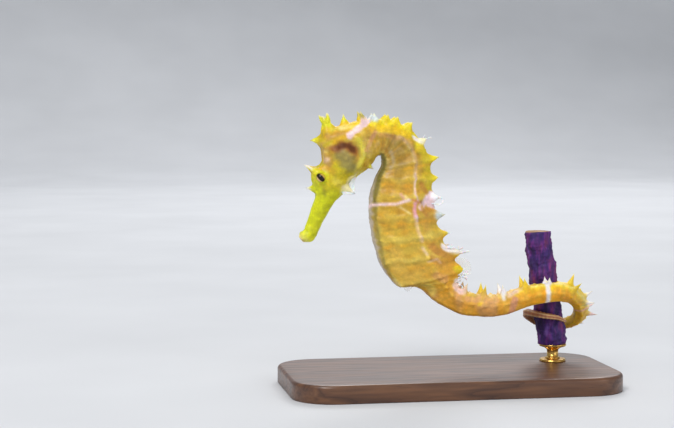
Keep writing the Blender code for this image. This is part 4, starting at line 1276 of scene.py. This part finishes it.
def paint_tail(skin, colours):
    """A paler underside and ridges, and dull pink patches nearer the trunk."""
    on_tail = skin.after(12.5, 14.0)
    colours = lay(colours, 0.30 * on_tail * smooth_step(1.1, 0.5, skin.girth), CREAM)
    colours = lay(colours, 0.45 * on_tail * hump(skin.girth - SUPERIOR, 0.22), PALE_TIP)
    patchy = smooth_step(-0.3, 0.9, ripple(skin.plain, 5.0, seed=38))
    colours = lay(colours, 0.65 * on_tail * patchy * skin.before(18.5, 21.5), DULL_PINK)
    return lay(colours, 0.35 * on_tail * skin.before(19.5, 22.0), TAN)


def paint_head(skin, colours):
    """The marks of the face and gill cover, the same on both sides. Some are painted shade: in the gill
    opening, on the gill cover and beside its rim, under the eye and in the hollow below the cheek. The
    snout's edges get a painted highlight.
    """
    z = skin.plain[..., 2]
    side = np.abs(skin.normals[..., 1])
    head = smooth_step(PLACES["shoulder"], PLACES["nape"], skin.place)
    warp = 0.22 * ripple(skin.plain, 2.0, seed=35)
    for path, width, colour, strength in HEAD_MARKS:
        distance = distance_to_path(skin.plain[..., [0, 2]], path) + warp * min(1.0, width)
        softness = 0.25 + 0.45 * width
        mask = smooth_step(width + softness, width - softness, distance) * smooth_step(0.05, 0.4, side)
        colours = lay(colours, mask * strength * head, colour)
    forehead = smooth_step(-0.5, -0.9, skin.normals[..., 0]) * head
    forehead = forehead * smooth_step(46.0, 48.5, z) * smooth_step(56.0, 53.0, z)
    colours = lay(colours, 0.35 * forehead, TAN)
    # Painted highlight: lime along the snout's front and back edges, where its side turns away
    snout = smooth_step(PLACES["below_eye"], PLACES["snout_base"], skin.place)
    colours = lay(colours, 0.7 * snout * smooth_step(0.95, 0.5, side), LIME)
    lips = smooth_step(PLACES["snout_end"], PLACES["mouth"] + 0.3, skin.place)
    colours = lay(colours, 0.75 * lips, blend(LIME, CREAM, 0.6))
    return lay(colours, 0.35 * smooth_step(0.35, 0.0, skin.place), ROSE)


def paint_spine_feet(skin, colours):
    """The spines' lower parts: bright yellow on the neck, golden behind it, lime on the head."""
    foot = smooth_step(0.12, 0.5, skin.tip)
    on_neck = skin.before(6.2, 7.0)
    colours = lay(colours, 0.8 * foot * on_neck * skin.on_back, BRIGHT)
    colours = lay(colours, 0.6 * foot * (1.0 - on_neck) * skin.on_back, YOLK)
    return lay(colours, 0.7 * foot * (skin.number < HEAD_END), LIME)


def paint_spine_tips(skin, colours):
    """Every spine is paler at its tip, the face's most of all. Some have a colour of their own."""
    for ring, (colour, start) in SPINE_TINTS.items():
        own = smooth_step(0.6, 0.3, np.abs(skin.number - ring)) * skin.on_back
        colours = lay(colours, 0.95 * smooth_step(start, start + 0.3, skin.tip) * own, colour)
    colours = lay(colours, 0.75 * smooth_step(0.55, 0.95, skin.tip), PALE_TIP)
    on_face = (skin.number < HEAD_END) * smooth_step(54.0, 52.0, skin.plain[..., 2])
    return lay(colours, 0.85 * smooth_step(0.42, 0.75, skin.tip) * on_face, WHITE)


# ---------------------------------------------------------------- materials


class Surface:
    """A material that is built up from nodes."""

    def __init__(self, name, **sockets):
        self.material = bpy.data.materials.new(name)
        self.material.use_nodes = True
        self.tree = self.material.node_tree
        self.shader = self.tree.nodes["Principled BSDF"]
        self.set(**sockets)

    def set(self, **sockets):
        """Sets sockets of the shader, or links them where the value is another node's output."""
        for name, value in sockets.items():
            self.join(value, self.shader.inputs[name.replace("_", " ").title().replace("Ior", "IOR")])

    def join(self, value, socket):
        """Sets or links one socket. A colour's value is in screen values."""
        if isinstance(value, bpy.types.NodeSocket):
            self.tree.links.new(value, socket)
        elif socket.type == "RGBA":
            socket.default_value = (*linear(value), 1.0)
        else:
            socket.default_value = value

    def node(self, kind, inputs=(), **settings):
        made = self.tree.nodes.new("ShaderNode" + kind)
        for name, value in settings.items():
            setattr(made, name, value)
        for key, value in dict(inputs).items():
            self.join(value, made.inputs[key])
        return made

    def place(self, stretch):
        """The point's place on the model, in metres, squeezed along each axis."""
        place = self.node("TexCoord").outputs["Object"]
        return self.node("Mapping", {"Vector": place, "Scale": stretch}).outputs["Vector"]

    def noise(self, size, detail=3.0, stretch=(1.0, 1.0, 1.0)):
        """Noise whose features have a size in millimetres."""
        inputs = {"Vector": self.place(stretch), "Scale": 1.0 / (size * MM), "Detail": detail}
        return self.node("TexNoise", inputs).outputs["Fac"]

    def cells(self, size, stretch=(1.0, 1.0, 1.0)):
        """Distance from the middles of scattered cells of a size in millimetres."""
        inputs = {"Vector": self.place(stretch), "Scale": 1.0 / (size * MM)}
        return self.node("TexVoronoi", inputs).outputs["Distance"]

    def ranged(self, value, low, high, to_low, to_high):
        """A value moved from one range to another, and held inside it."""
        inputs = {"Value": value, "From Min": low, "From Max": high, "To Min": to_low, "To Max": to_high}
        return self.node("MapRange", inputs).outputs["Result"]

    def attribute(self, name, output="Fac"):
        return self.node("Attribute", attribute_name=name).outputs[output]

    def mix(self, share, first, second, mode="MIX"):
        made = self.node("Mix", data_type="RGBA", blend_type=mode)
        for index, value in ((0, share), (6, first), (7, second)):
            self.join(value, made.inputs[index])
        return made.outputs[2]

    def shade(self, colour, factor):
        """A colour made darker or lighter by a factor."""
        return self.mix(1.0, colour, factor, "MULTIPLY")

    def ramp(self, value, colour_stops):
        """Colours along a value: pairs of a position and a colour."""
        made = self.node("ValToRGB", {"Fac": value})
        elements = made.color_ramp.elements
        while len(elements) < len(colour_stops):
            elements.new(1.0)
        for element, (position, colour) in zip(elements, colour_stops):
            element.position = position
            element.color = (*linear(colour), 1.0)
        return made.outputs["Color"]

    def bump(self, height, depth, strength=1.0):
        """Relief of a depth in millimetres."""
        inputs = {"Height": height, "Distance": depth * MM, "Strength": strength}
        self.set(normal=self.node("Bump", inputs).outputs["Normal"])

    def calculate(self, operation, *values):
        return self.node("Math", enumerate(values), operation=operation).outputs[0]

    def add(self, first, second, weight):
        """The first value plus the second one by its weight."""
        return self.calculate("MULTIPLY_ADD", second, weight, first)


def skin_surface():
    """Living skin: its painted colour with fine mottling, grain and a wet gloss."""
    skin = Surface("skin", subsurface_weight=0.12, subsurface_scale=0.0012, specular_ior_level=0.4)
    skin.set(coat_weight=0.08, coat_roughness=0.3, subsurface_radius=(1.0, 0.55, 0.2))
    blotch = skin.ranged(skin.noise(1.8, 4.0), 0.3, 0.7, 0.92, 1.05)
    grain = skin.noise(0.28, 2.0)
    fine = skin.noise(0.55, 3.0)
    freckle = skin.ranged(skin.noise(0.45, 5.0), 0.3, 0.7, 0.95, 1.05)
    pale = skin.ranged(skin.noise(0.9, 4.0), 0.5, 0.75, 1.0, 1.12)
    colour = skin.shade(skin.attribute("paint", "Color"), blotch)
    colour = skin.shade(skin.shade(colour, freckle), pale)
    dull_in_dark_paint = skin.ranged(skin.attribute("paint"), 0.05, 0.24, 0.34, 0.0)
    roughness = skin.add(skin.ranged(fine, 0.3, 0.7, 0.38, 0.56), dull_in_dark_paint, 1.0)
    skin.set(base_color=colour, roughness=roughness)
    skin.bump(skin.add(fine, grain, 0.5), 0.075, 0.5)
    return skin.material


def eye_surface():
    """A glossy eye with fine flecks."""
    eye = Surface("eye", coat_weight=0.35, coat_roughness=0.06, roughness=0.4, specular_ior_level=0.2)
    flecks = eye.ranged(eye.noise(0.16, 2.0), 0.35, 0.65, 0.75, 1.15)
    eye.set(base_color=eye.shade(eye.attribute("paint", "Color"), flecks))
    return eye.material


def fin_surface(name, web, rays, clearest, densest):
    """A clear skin with slightly denser rays."""
    fin = Surface(name, roughness=0.4, subsurface_weight=0.2, subsurface_scale=0.0006)
    ray = fin.attribute("ray")
    tone = fin.ranged(fin.noise(0.7, 3.0), 0.3, 0.7, 0.0, 0.5)
    alpha = fin.ranged(ray, 0.0, 1.0, clearest, densest)
    fin.set(base_color=fin.mix(tone, fin.mix(ray, web, rays), PALE_TIP), alpha=alpha)
    fin.bump(fin.noise(0.3, 2.0), 0.03, 0.3)
    return fin.material


def thread_surface():
    """Soft white skin threads."""
    thread = Surface("thread", roughness=0.45, subsurface_weight=0.35, subsurface_scale=0.0008)
    thread.set(base_color=thread.ramp(thread.noise(1.2, 3.0), THREAD_STOPS))
    thread.bump(thread.noise(0.25, 2.0), 0.04, 0.5)
    return thread.material


def bark_surface():
    """Dark purple bark under thin broken lilac crusting, in part painted sheen, and pale wood where it is
    cut.
    """
    bark = Surface("bark", roughness=0.75)
    crack = bark.noise(1.6, 6.0, (1.0, 1.0, 0.30))
    # Lilac crusting, in part painted sheen on the bark
    crust_and_sheen = bark.noise(2.2, 5.0, (1.0, 1.0, 0.5))
    colour = bark.mix(bark.ranged(crust_and_sheen, 0.58, 0.76, 0.0, 0.6), bark.ramp(crack, BARK_STOPS), BARK_CRUST_AND_SHEEN)
    streaks = bark.ranged(bark.noise(0.8, 4.0, (1.0, 1.0, 0.15)), 0.42, 0.7, 0.0, 0.6)
    colour = bark.mix(streaks, colour, BARK_STREAK)
    colour = bark.mix(bark.attribute("wood"), colour, bark.ramp(bark.attribute("rings"), CUT_STOPS))
    bark.set(base_color=colour, roughness=bark.ranged(crust_and_sheen, 0.3, 0.7, 0.6, 0.88))
    bark.bump(bark.add(crack, crust_and_sheen, 0.7), 0.3, 0.6)
    return bark.material


def brass_surface():
    """Brass with a light tarnish and fine turning marks."""
    brass = Surface("brass", metallic=1.0)
    tarnish = brass.noise(4.0, 5.0)
    roughness = brass.ranged(tarnish, 0.3, 0.7, 0.34, 0.2)
    brass.set(base_color=brass.ramp(tarnish, BRASS_STOPS), roughness=roughness)
    brass.bump(brass.noise(0.25, 2.0, (0.15, 0.15, 1.6)), 0.012, 0.5)
    return brass.material


def walnut_surface():
    """Oiled walnut with its grain along the base."""
    wood = Surface("walnut", coat_weight=0.25, coat_roughness=0.2)
    figure = wood.noise(9.0, 4.0, (0.12, 1.0, 1.0))
    bands = wood.calculate("FRACT", wood.calculate("MULTIPLY", figure, 9.0))
    fibres = wood.noise(0.6, 4.0, (0.05, 1.0, 1.0))
    pores = wood.cells(0.55, (0.06, 1.0, 1.0))
    colour = wood.ramp(bands, WALNUT_STOPS)
    colour = wood.mix(wood.ranged(fibres, 0.35, 0.7, 0.0, 0.45), colour, WALNUT_FIBRE)
    colour = wood.mix(wood.ranged(pores, 0.12, 0.04, 0.0, 0.6), colour, WALNUT_PORE)
    wood.set(base_color=colour, roughness=wood.ranged(fibres, 0.3, 0.7, 0.34, 0.5))
    wood.bump(wood.add(fibres, pores, 0.4), 0.03, 0.4)
    return wood.material


def floor_surface():
    floor = Surface("floor", roughness=0.9)
    floor.set(base_color=floor.ramp(floor.noise(60.0, 2.0), FLOOR_STOPS))
    return floor.material


# ---------------------------------------------------------------- eyes


def build_eye(name, side, material):
    """An eyeball that bulges at its front, with a dark slanted band, the eye's dark centre with painted
    shade round it, in a golden iris.
    """
    outward, slant, cross = eye_axes()
    rows, columns = EYE_GRID
    points, colours = [], []
    for i in range(rows):
        polar = EYE_SPAN * (i / (rows - 1)) ** 1.1
        radius = EYE_RADIUS * (1.0 + EYE_BULGE * math.exp(-((polar / 0.45) ** 2)))
        for j in range(columns):
            turn = 2.0 * math.pi * j / columns
            along, across = math.sin(polar) * math.cos(turn), math.sin(polar) * math.sin(turn)
            spot = radius * (math.cos(polar) * outward + along * slant + across * cross)
            points.append((np.array(EYE_PLACE) + spot) * (1.0, side, 1.0))
            colours.append(eye_colour(along * EYE_RADIUS, across * EYE_RADIUS, turn))
    points.append(np.mean(points[-columns:], axis=0))
    colours.append(linear(BROWN))
    faces = grid_faces(rows, columns)
    last = (rows - 1) * columns
    faces += [(last + (j + 1) % columns, last + j, len(points) - 1) for j in range(columns)]
    piece = make_mesh(name, points, faces, material)
    add_colours(piece.data, "paint", colours)
    return piece


def eye_colour(along, across, turn):
    """A dark band along the slant, the eye's dark centre with painted shade round it, and a paler iris
    beside it, by the place from the middle. The iris on the upper side is paler, in part a painted
    highlight, and it darkens under the lids as painted shade.
    """
    # The dark band is the eye's dark centre with painted shade round it.
    band_reach = math.hypot(along / PUPIL_AND_SHADE[0], across / PUPIL_AND_SHADE[1])
    streak = 0.5 + 0.5 * math.sin(turn * 17.0) * math.sin(turn * 6.0 + 1.0)
    below = float(smooth_step(0.1, -0.1, across))
    # The paler upper iris is in part a painted highlight.
    iris = blend(blend(CREAM, OCHRE, 0.75), blend(CREAM, TAN, 0.6), below)
    iris = blend(iris, AMBER, blend(0.3, 0.12, below) * streak)
    # Painted shade: the iris darkens under the lids.
    iris = blend(iris, BROWN, 0.6 * smooth_step(1.06, 1.22, math.hypot(along, across)))
    return linear(blend(EYE_DARK, iris, smooth_step(0.85, 1.15, band_reach)))


# ---------------------------------------------------------------- fins, flaps and threads


def rim_faces(rows, columns, start, half):
    """The faces that join the edges of a sheet's two sides, numbered half apart."""
    edge = [r * columns for r in range(rows)]
    edge += [(rows - 1) * columns + c for c in range(1, columns)]
    edge += [r * columns + columns - 1 for r in range(rows - 2, -1, -1)]
    edge += range(columns - 2, 0, -1)
    pairs = zip(edge, edge[1:] + edge[:1])
    return [(start + a, start + b, start + half + b, start + half + a) for a, b in pairs]


def two_sided(sheet, thick, start=0):
    """Points and faces of a thin closed sheet, from a grid of points and half its thickness."""
    rows, columns = sheet.shape[:2]
    half = rows * columns
    points = np.concatenate([(sheet + thick).reshape(-1, 3), (sheet - thick).reshape(-1, 3)])
    front = grid_faces(rows, columns, closed=False, start=start)
    back = [tuple(half + corner for corner in face[::-1]) for face in front]
    return points, front + back + rim_faces(rows, columns, start, half)


def fin_rays(roots, rays, count, sag):
    """Every ray of a fin as a path of points, and the direction across the fin."""
    rng = np.random.default_rng(FIN_SEED)
    normal = unit(np.cross(rays.mean(axis=0), roots[1] - roots[0]))
    along = np.linspace(0.0, 1.0, FIN_RAY_POINTS)[:, None]
    paths = []
    for share in np.arange(count) / (count - 1):
        length = 1.0 - 0.30 * (2.0 * share - 1.0) ** 2 - 0.05 * rng.random()
        ray = blend(rays[0], rays[1], share) * length
        bend = sag * np.sin(along * math.pi * 0.5) ** 2 * math.sin(math.pi * (0.15 + 0.7 * share))
        paths.append(blend(roots[0], roots[1], share) + ray * along + normal * bend)
    return paths, normal


def build_fin(name, shape, side, material):
    """A thin clear fin with thicker rays and a notched edge. Side -1 mirrors it."""
    roots, rays, count, sag = shape
    flip = np.array((1.0, side, 1.0))
    paths, normal = fin_rays(roots * flip, rays * flip, count, sag * side)
    sheet, on_ray = [], []
    for a, b in zip(paths, paths[1:]):
        for share in np.arange(FIN_STEPS) / FIN_STEPS:
            notch = 1.0 - FIN_NOTCH * math.sin(math.pi * share)
            path = blend(a, b, share)
            sheet.append(path[0] + (path - path[0]) * notch)
            on_ray.append(0.5 + 0.5 * math.cos(2.0 * math.pi * share))
    sheet = np.array([*sheet, paths[-1]])
    on_ray = np.array([*on_ray, 1.0])[:, None] ** 1.5
    fading = np.linspace(1.0, 0.3, sheet.shape[1])[None, :]
    thick = (FIN_THICKNESS + FIN_RAY * on_ray * fading)[..., None] * normal
    fin = make_mesh(name + "_blade", *two_sided(sheet, thick), material)
    add_values(fin.data, "ray", np.tile((on_ray * fading).ravel(), 2))
    return fin


def build_cheek_flaps(material):
    """A thin pale flap of skin that hangs from each side of the throat."""
    rows, columns = FLAP_GRID
    share = np.linspace(0.0, 1.0, rows)
    out = np.linspace(0.0, 1.0, columns)[None, :, None]
    root, edge = (curve_at(path, share * (len(path) - 1))[:, None] for path in (FLAP_ROOT, FLAP_EDGE))
    sideways = np.array((0.0, 1.0, 0.0))
    ruffle = FLAP_RUFFLE * np.sin(share * 14.0)[:, None, None] * out
    left = blend(root, edge, out) - ruffle * sideways
    thick = FLAP_THICKNESS * (1.0 - 0.75 * out) * sideways
    points, faces = [], []
    for side in (1.0, -1.0):
        more, added = two_sided(left * (1.0, side, 1.0), thick, len(points))
        points += list(more)
        faces += added
    return make_mesh("cheek_flaps", points, faces, material)


def thin_tube(path, radii, start):
    """A tapered tube along a path, closed at both ends, as points and faces."""
    points = []
    ahead = unit(np.gradient(path, axis=0))
    across = unit(np.cross(ahead[0], THREAD_ACROSS))
    for spot, way, radius in zip(path, ahead, radii):
        across = unit(across - (across @ way) * way)
        other = np.cross(way, across)
        for j in range(THREAD_SIDES):
            turn = 2.0 * math.pi * j / THREAD_SIDES
            points.append(spot + radius * (math.cos(turn) * across + math.sin(turn) * other))
    faces = grid_faces(len(path), THREAD_SIDES, start=start)
    last = start + (len(path) - 1) * THREAD_SIDES
    faces.append(tuple(range(start + THREAD_SIDES - 1, start - 1, -1)))
    faces.append(tuple(range(last, last + THREAD_SIDES)))
    return points, faces


def thread_tubes(base, way, length, width, curl, forks, seed):
    """A skin thread that grows from a base: it curls, tapers and may fork."""
    rng = np.random.default_rng(seed)
    way = unit(way)
    side = unit(np.cross(way, unit(rng.normal(size=3))))
    share = np.linspace(0.0, 1.0, THREAD_POINTS)
    straight = np.cumsum(np.cos(curl * share)) / THREAD_POINTS
    bent = np.cumsum(np.sin(curl * share)) / THREAD_POINTS
    path = base + length * (straight[:, None] * way + bent[:, None] * side)
    path[0] = base - 0.25 * way
    radii = width * (1.0 - 0.45 * share) * (1.0 + 0.12 * np.sin(share * 19.0))
    radii[-1] *= 0.55
    tubes = [(path, radii)]
    for k in range(forks):
        root = path[4 + (3 * k) % 6]
        out = unit(way + 0.9 * unit(rng.normal(size=3)))
        shorter = length * rng.uniform(0.4, 0.6)
        tubes += thread_tubes(root, out, shorter, width * 0.65, curl * 0.4, 0, seed * 7 + k)
    return tubes


def build_threads(skin, material):
    """White threads and knobs of skin that grow from some of the back's spines."""
    tubes = []
    for side in (1, -1):
        superior = side * SUPERIOR % GIRTHS
        spines = np.array([number for number, girth in skin.tips if girth == superior])
        for k, (ring, length, width, curl, forks) in enumerate(THREADS):
            nearest = spines[np.argmin(np.abs(spines - ring))]
            tip, out = skin.tips[nearest, superior]
            base = surface_point(ring_place(ring), side * (SUPERIOR - 0.1) % GIRTHS)
            if abs(nearest - ring) < 0.2:
                base = blend(base, tip, 0.75)
            seed = 200 + 10 * k + (side < 0)
            tubes += thread_tubes(base, out, length, width, curl, forks, seed)
    points, faces = [], []
    for path, radii in tubes:
        more, added = thin_tube(path, radii, len(points))
        points += more
        faces += added
    return make_mesh("skin_threads", points, faces, material)


# ---------------------------------------------------------------- perch and stand


def cut_loop(edge, scale, z, inwards):
    """A ring of a cut end, as a share of its edge. Inside the bark's rim the wood is sunk."""
    middle = edge.mean(axis=0)
    loop = middle + (edge - middle) * scale
    loop[:, 2] = z + (inwards * CUT_DEPTH if scale < CUT_RIM else 0.0)
    return loop


def build_perch(material):
    """The branch: bark with lumps and scars, and two cut ends that show the wood."""
    rows, columns = PERCH_GRID
    heights = np.linspace(PERCH_BOTTOM, PERCH_TOP, rows)
    h = heights[:, None]
    t = np.linspace(0.0, 2.0 * math.pi, columns, endpoint=False)[None, :]
    axis = perch_axis(heights)[:, None]
    share = (h - PERCH_BOTTOM) / (PERCH_TOP - PERCH_BOTTOM)
    knobs = 0.12 * np.sin(3.0 * t + 0.9 * h) + 0.10 * np.sin(2.0 * t - 1.7 * h)
    radius = blend(PERCH_RADIUS_BOTTOM, PERCH_RADIUS_TOP, share) * (0.96 + 0.3 * knobs)
    wall = axis + radius[..., None] * from_perch(t)
    bumps = 0.10 * ripple(wall * (1.0, 1.0, 0.6), 2.2, seed=81) + 0.06 * ripple(wall, 0.9, seed=82)
    bumps += 0.10 * np.clip(ripple(wall, 1.6, seed=83) - 0.5, 0.0, 1.0)
    bumps -= 0.10 * np.clip(ripple(wall * (1.0, 1.0, 0.35), 1.3, seed=84) - 0.6, 0.0, 1.0)
    from_end = np.minimum(h - PERCH_BOTTOM, PERCH_TOP - h)
    bumps -= 0.22 * np.clip(1.0 - from_end / 0.5, 0.0, 1.0) ** 2
    wall = wall + bumps[..., None] * unit(wall - axis)
    wall[..., 2] = np.clip(wall[..., 2], PERCH_BOTTOM, PERCH_TOP)
    bottom = [cut_loop(wall[0], scale, PERCH_BOTTOM, 1.0) for scale in reversed(CUT_LOOPS)]
    top = [cut_loop(wall[-1], scale, PERCH_TOP, -1.0) for scale in CUT_LOOPS]
    grid = np.concatenate([bottom, wall, top])
    growth = np.concatenate([CUT_LOOPS[::-1], np.zeros(rows), CUT_LOOPS])[:, None] * np.ones(columns)
    piece = build_tube("perch_branch", grid, material)
    add_values(piece.data, "wood", np.append(growth > 0.0, (True, True)))
    bands = 0.5 + 0.5 * np.sin(growth * 40.0 + 0.6 * ripple(grid, 2.0, seed=85))
    add_values(piece.data, "rings", np.append(bands, (0.9, 0.9)))
    return piece


def lathe(name, profile, middle, material):
    """A turned piece from (radius, height) pairs."""
    turns = np.linspace(0.0, 2.0 * math.pi, LATHE_STEPS, endpoint=False)
    loop = np.stack([np.cos(turns), np.sin(turns), np.zeros(LATHE_STEPS)], axis=-1)
    grid = [loop * radius + (middle[0], middle[1], height) for radius, height in profile]
    return build_tube(name, np.array(grid), material)


def arc(centre, radius, start, end, steps=6):
    """Points (radius, height) of a quarter round or bead, between two angles in degrees."""
    turns = np.radians(np.linspace(start, end, steps))
    return [(centre[0] + radius * math.cos(t), centre[1] + radius * math.sin(t)) for t in turns]


def build_rod(material):
    """The turned brass rod: a stepped foot with a bead, a slim stem and a cup under the branch."""
    low, high = BASE_HEIGHT, PERCH_BOTTOM + 0.05
    profile = [(ROD_FOOT_RADIUS, low), (ROD_FOOT_RADIUS, low + 0.35)]
    profile += arc((ROD_FOOT_RADIUS - 0.25, low + 0.35), 0.25, 0, 90)
    profile += [(ROD_RADIUS + 0.5, low + 0.62)]
    profile += arc((ROD_RADIUS + 0.2, low + 0.82), 0.22, -70, 80)
    profile += [(ROD_RADIUS, low + 1.1), (ROD_RADIUS, high - 1.5)]
    profile += [(ROD_RADIUS + 0.15, high - 1.25), (ROD_RADIUS + 0.7, high - 0.85)]
    profile += [(ROD_CUP_RADIUS - 0.15, high - 0.55), (ROD_CUP_RADIUS, high - 0.42)]
    profile += [(ROD_CUP_RADIUS, high - 0.1), (ROD_CUP_RADIUS - 0.1, high)]
    return lathe("stand_turned_rod", profile, perch_axis(PERCH_BOTTOM), material)


def rounded_loop(middle, half, inset, height):
    """A rounded rectangle of points, a distance inside the base's sides."""
    corner = max(BASE_CORNER - inset, 0.8)
    points = []
    for quarter, (sx, sy) in enumerate(((1, 1), (-1, 1), (-1, -1), (1, -1))):
        centre_x = middle[0] + sx * (half[0] - inset - corner)
        centre_y = middle[1] + sy * (half[1] - inset - corner)
        for turn in math.pi / 2 * (quarter + np.arange(BASE_STEPS + 1) / BASE_STEPS):
            points.append((centre_x + corner * math.cos(turn), centre_y + corner * math.sin(turn), height))
    return points


def build_base(material):
    """The walnut base: a rounded block with a softened edge."""
    low, high = (np.array(corner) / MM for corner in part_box("stand_base"))
    middle, half = (low + high) / 2, (high - low) / 2
    layers = [(0.25, low[2]), (0.0, low[2] + 0.25), (0.0, high[2] - BASE_EDGE)]
    for turn in np.linspace(0.15, math.pi / 2, 7):
        layers.append((BASE_EDGE * (1.0 - math.cos(turn)), high[2] - BASE_EDGE * (1.0 - math.sin(turn))))
    layers += [(inset, high[2]) for inset in (2.5, 6.0, 12.0)]
    points = [point for inset, height in layers for point in rounded_loop(middle, half, inset, height)]
    around = len(points) // len(layers)
    faces = grid_faces(len(layers), around)
    faces.append(tuple(range(around - 1, -1, -1)))
    faces.append(tuple(range(len(points) - around, len(points))))
    piece = make_mesh("stand_block", points, faces, material)
    for face in piece.data.polygons[-2:]:
        face.use_smooth = False
    return piece


# ---------------------------------------------------------------- studio


def build_floor(material):
    """A pale floor that curves up into a wall far behind."""
    rows = [(FLOOR_FRONT, 0.0), (FLOOR_BACK, 0.0)]
    for turn in np.linspace(0.15, math.pi / 2, 12):
        rows.append((FLOOR_BACK + FLOOR_CURVE * math.sin(turn), FLOOR_CURVE * (1.0 - math.cos(turn))))
    rows.append((FLOOR_BACK + FLOOR_CURVE, WALL_TOP))
    points = [(x, y, z) for y, z in rows for x in (-FLOOR_HALF_WIDTH, FLOOR_HALF_WIDTH)]
    faces = [(2 * i, 2 * i + 1, 2 * i + 3, 2 * i + 2) for i in range(len(rows) - 1)]
    floor = make_mesh("studio_floor", points, faces, material)


def add_area_light(name, place, size, power, colour):
    """A soft square light that faces the animal."""
    light = bpy.data.objects.new(name, bpy.data.lights.new(name, "AREA"))
    light.data.size = size * MM
    light.data.energy = power
    light.data.color = colour
    light.location = Vector(place) * MM
    light.rotation_euler = (Vector(place) - Vector(LOOK_AT)).to_track_quat("Z", "Y").to_euler()
    bpy.context.scene.collection.objects.link(light)


def add_camera():
    """The camera at the photograph's viewing angle."""
    azimuth, elevation = math.radians(CAMERA_AZIMUTH), math.radians(CAMERA_ELEVATION)
    away = Vector((
        math.sin(azimuth) * math.cos(elevation),
        -math.cos(azimuth) * math.cos(elevation),
        math.sin(elevation),
    ))
    camera = bpy.data.objects.new("camera", bpy.data.cameras.new("camera"))
    camera.location = (Vector(CAMERA_TARGET) + away * CAMERA_DISTANCE) * MM
    camera.rotation_euler = away.to_track_quat("Z", "Y").to_euler()
    camera.data.lens = CAMERA_LENS
    camera.data.clip_start = 0.01
    bpy.context.scene.collection.objects.link(camera)
    bpy.context.scene.camera = camera


def light_studio():
    """A pale even sky and three soft lights."""
    world = bpy.data.worlds.new("world")
    world.use_nodes = True
    background = world.node_tree.nodes["Background"]
    background.inputs["Color"].default_value = (*SKY_COLOUR, 1.0)
    background.inputs["Strength"].default_value = SKY_STRENGTH
    bpy.context.scene.world = world
    for light in LIGHTS:
        add_area_light(*light)
    bpy.context.scene.view_settings.view_transform = "Standard"


# ---------------------------------------------------------------- the whole


def build_animal():
    """The animal's pieces. The CAD nodes that each one stands for are hidden."""
    skin_piece, skin = build_skin(skin_surface())
    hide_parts(*FLESH_NODES)
    eye_material = eye_surface()
    for name, side in (("left", 1.0), ("right", -1.0)):
        eye = build_eye("eyeball_" + name, side, eye_material)
        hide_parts("eye_" + name)
    yellow_fin = fin_surface("fin_yellow", BUTTER, PALE_YELLOW, 0.06, 0.14)
    white_fin = fin_surface("fin_white", WHITE, CREAM, 0.14, 0.22)
    for name, shape, side, material in (
        ("pectoral_fin_left", PECTORAL_FIN, 1.0, yellow_fin),
        ("pectoral_fin_right", PECTORAL_FIN, -1.0, yellow_fin),
        ("dorsal_fin", DORSAL_FIN, 1.0, white_fin),
        ("anal_fin", ANAL_FIN, 1.0, white_fin),
    ):
        fin = build_fin(name, shape, side, material)
        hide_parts(name)
    thread_material = thread_surface()
    build_threads(skin, thread_material)
    build_cheek_flaps(thread_material)


def build_stand():
    """The branch, the rod and the base, likewise."""
    perch = build_perch(bark_surface())
    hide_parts("perch")
    rod = build_rod(brass_surface())
    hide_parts("stand_rod")
    base = build_base(walnut_surface())
    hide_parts("stand_base")


build_animal()
build_stand()
build_floor(floor_surface())
light_studio()
add_camera()
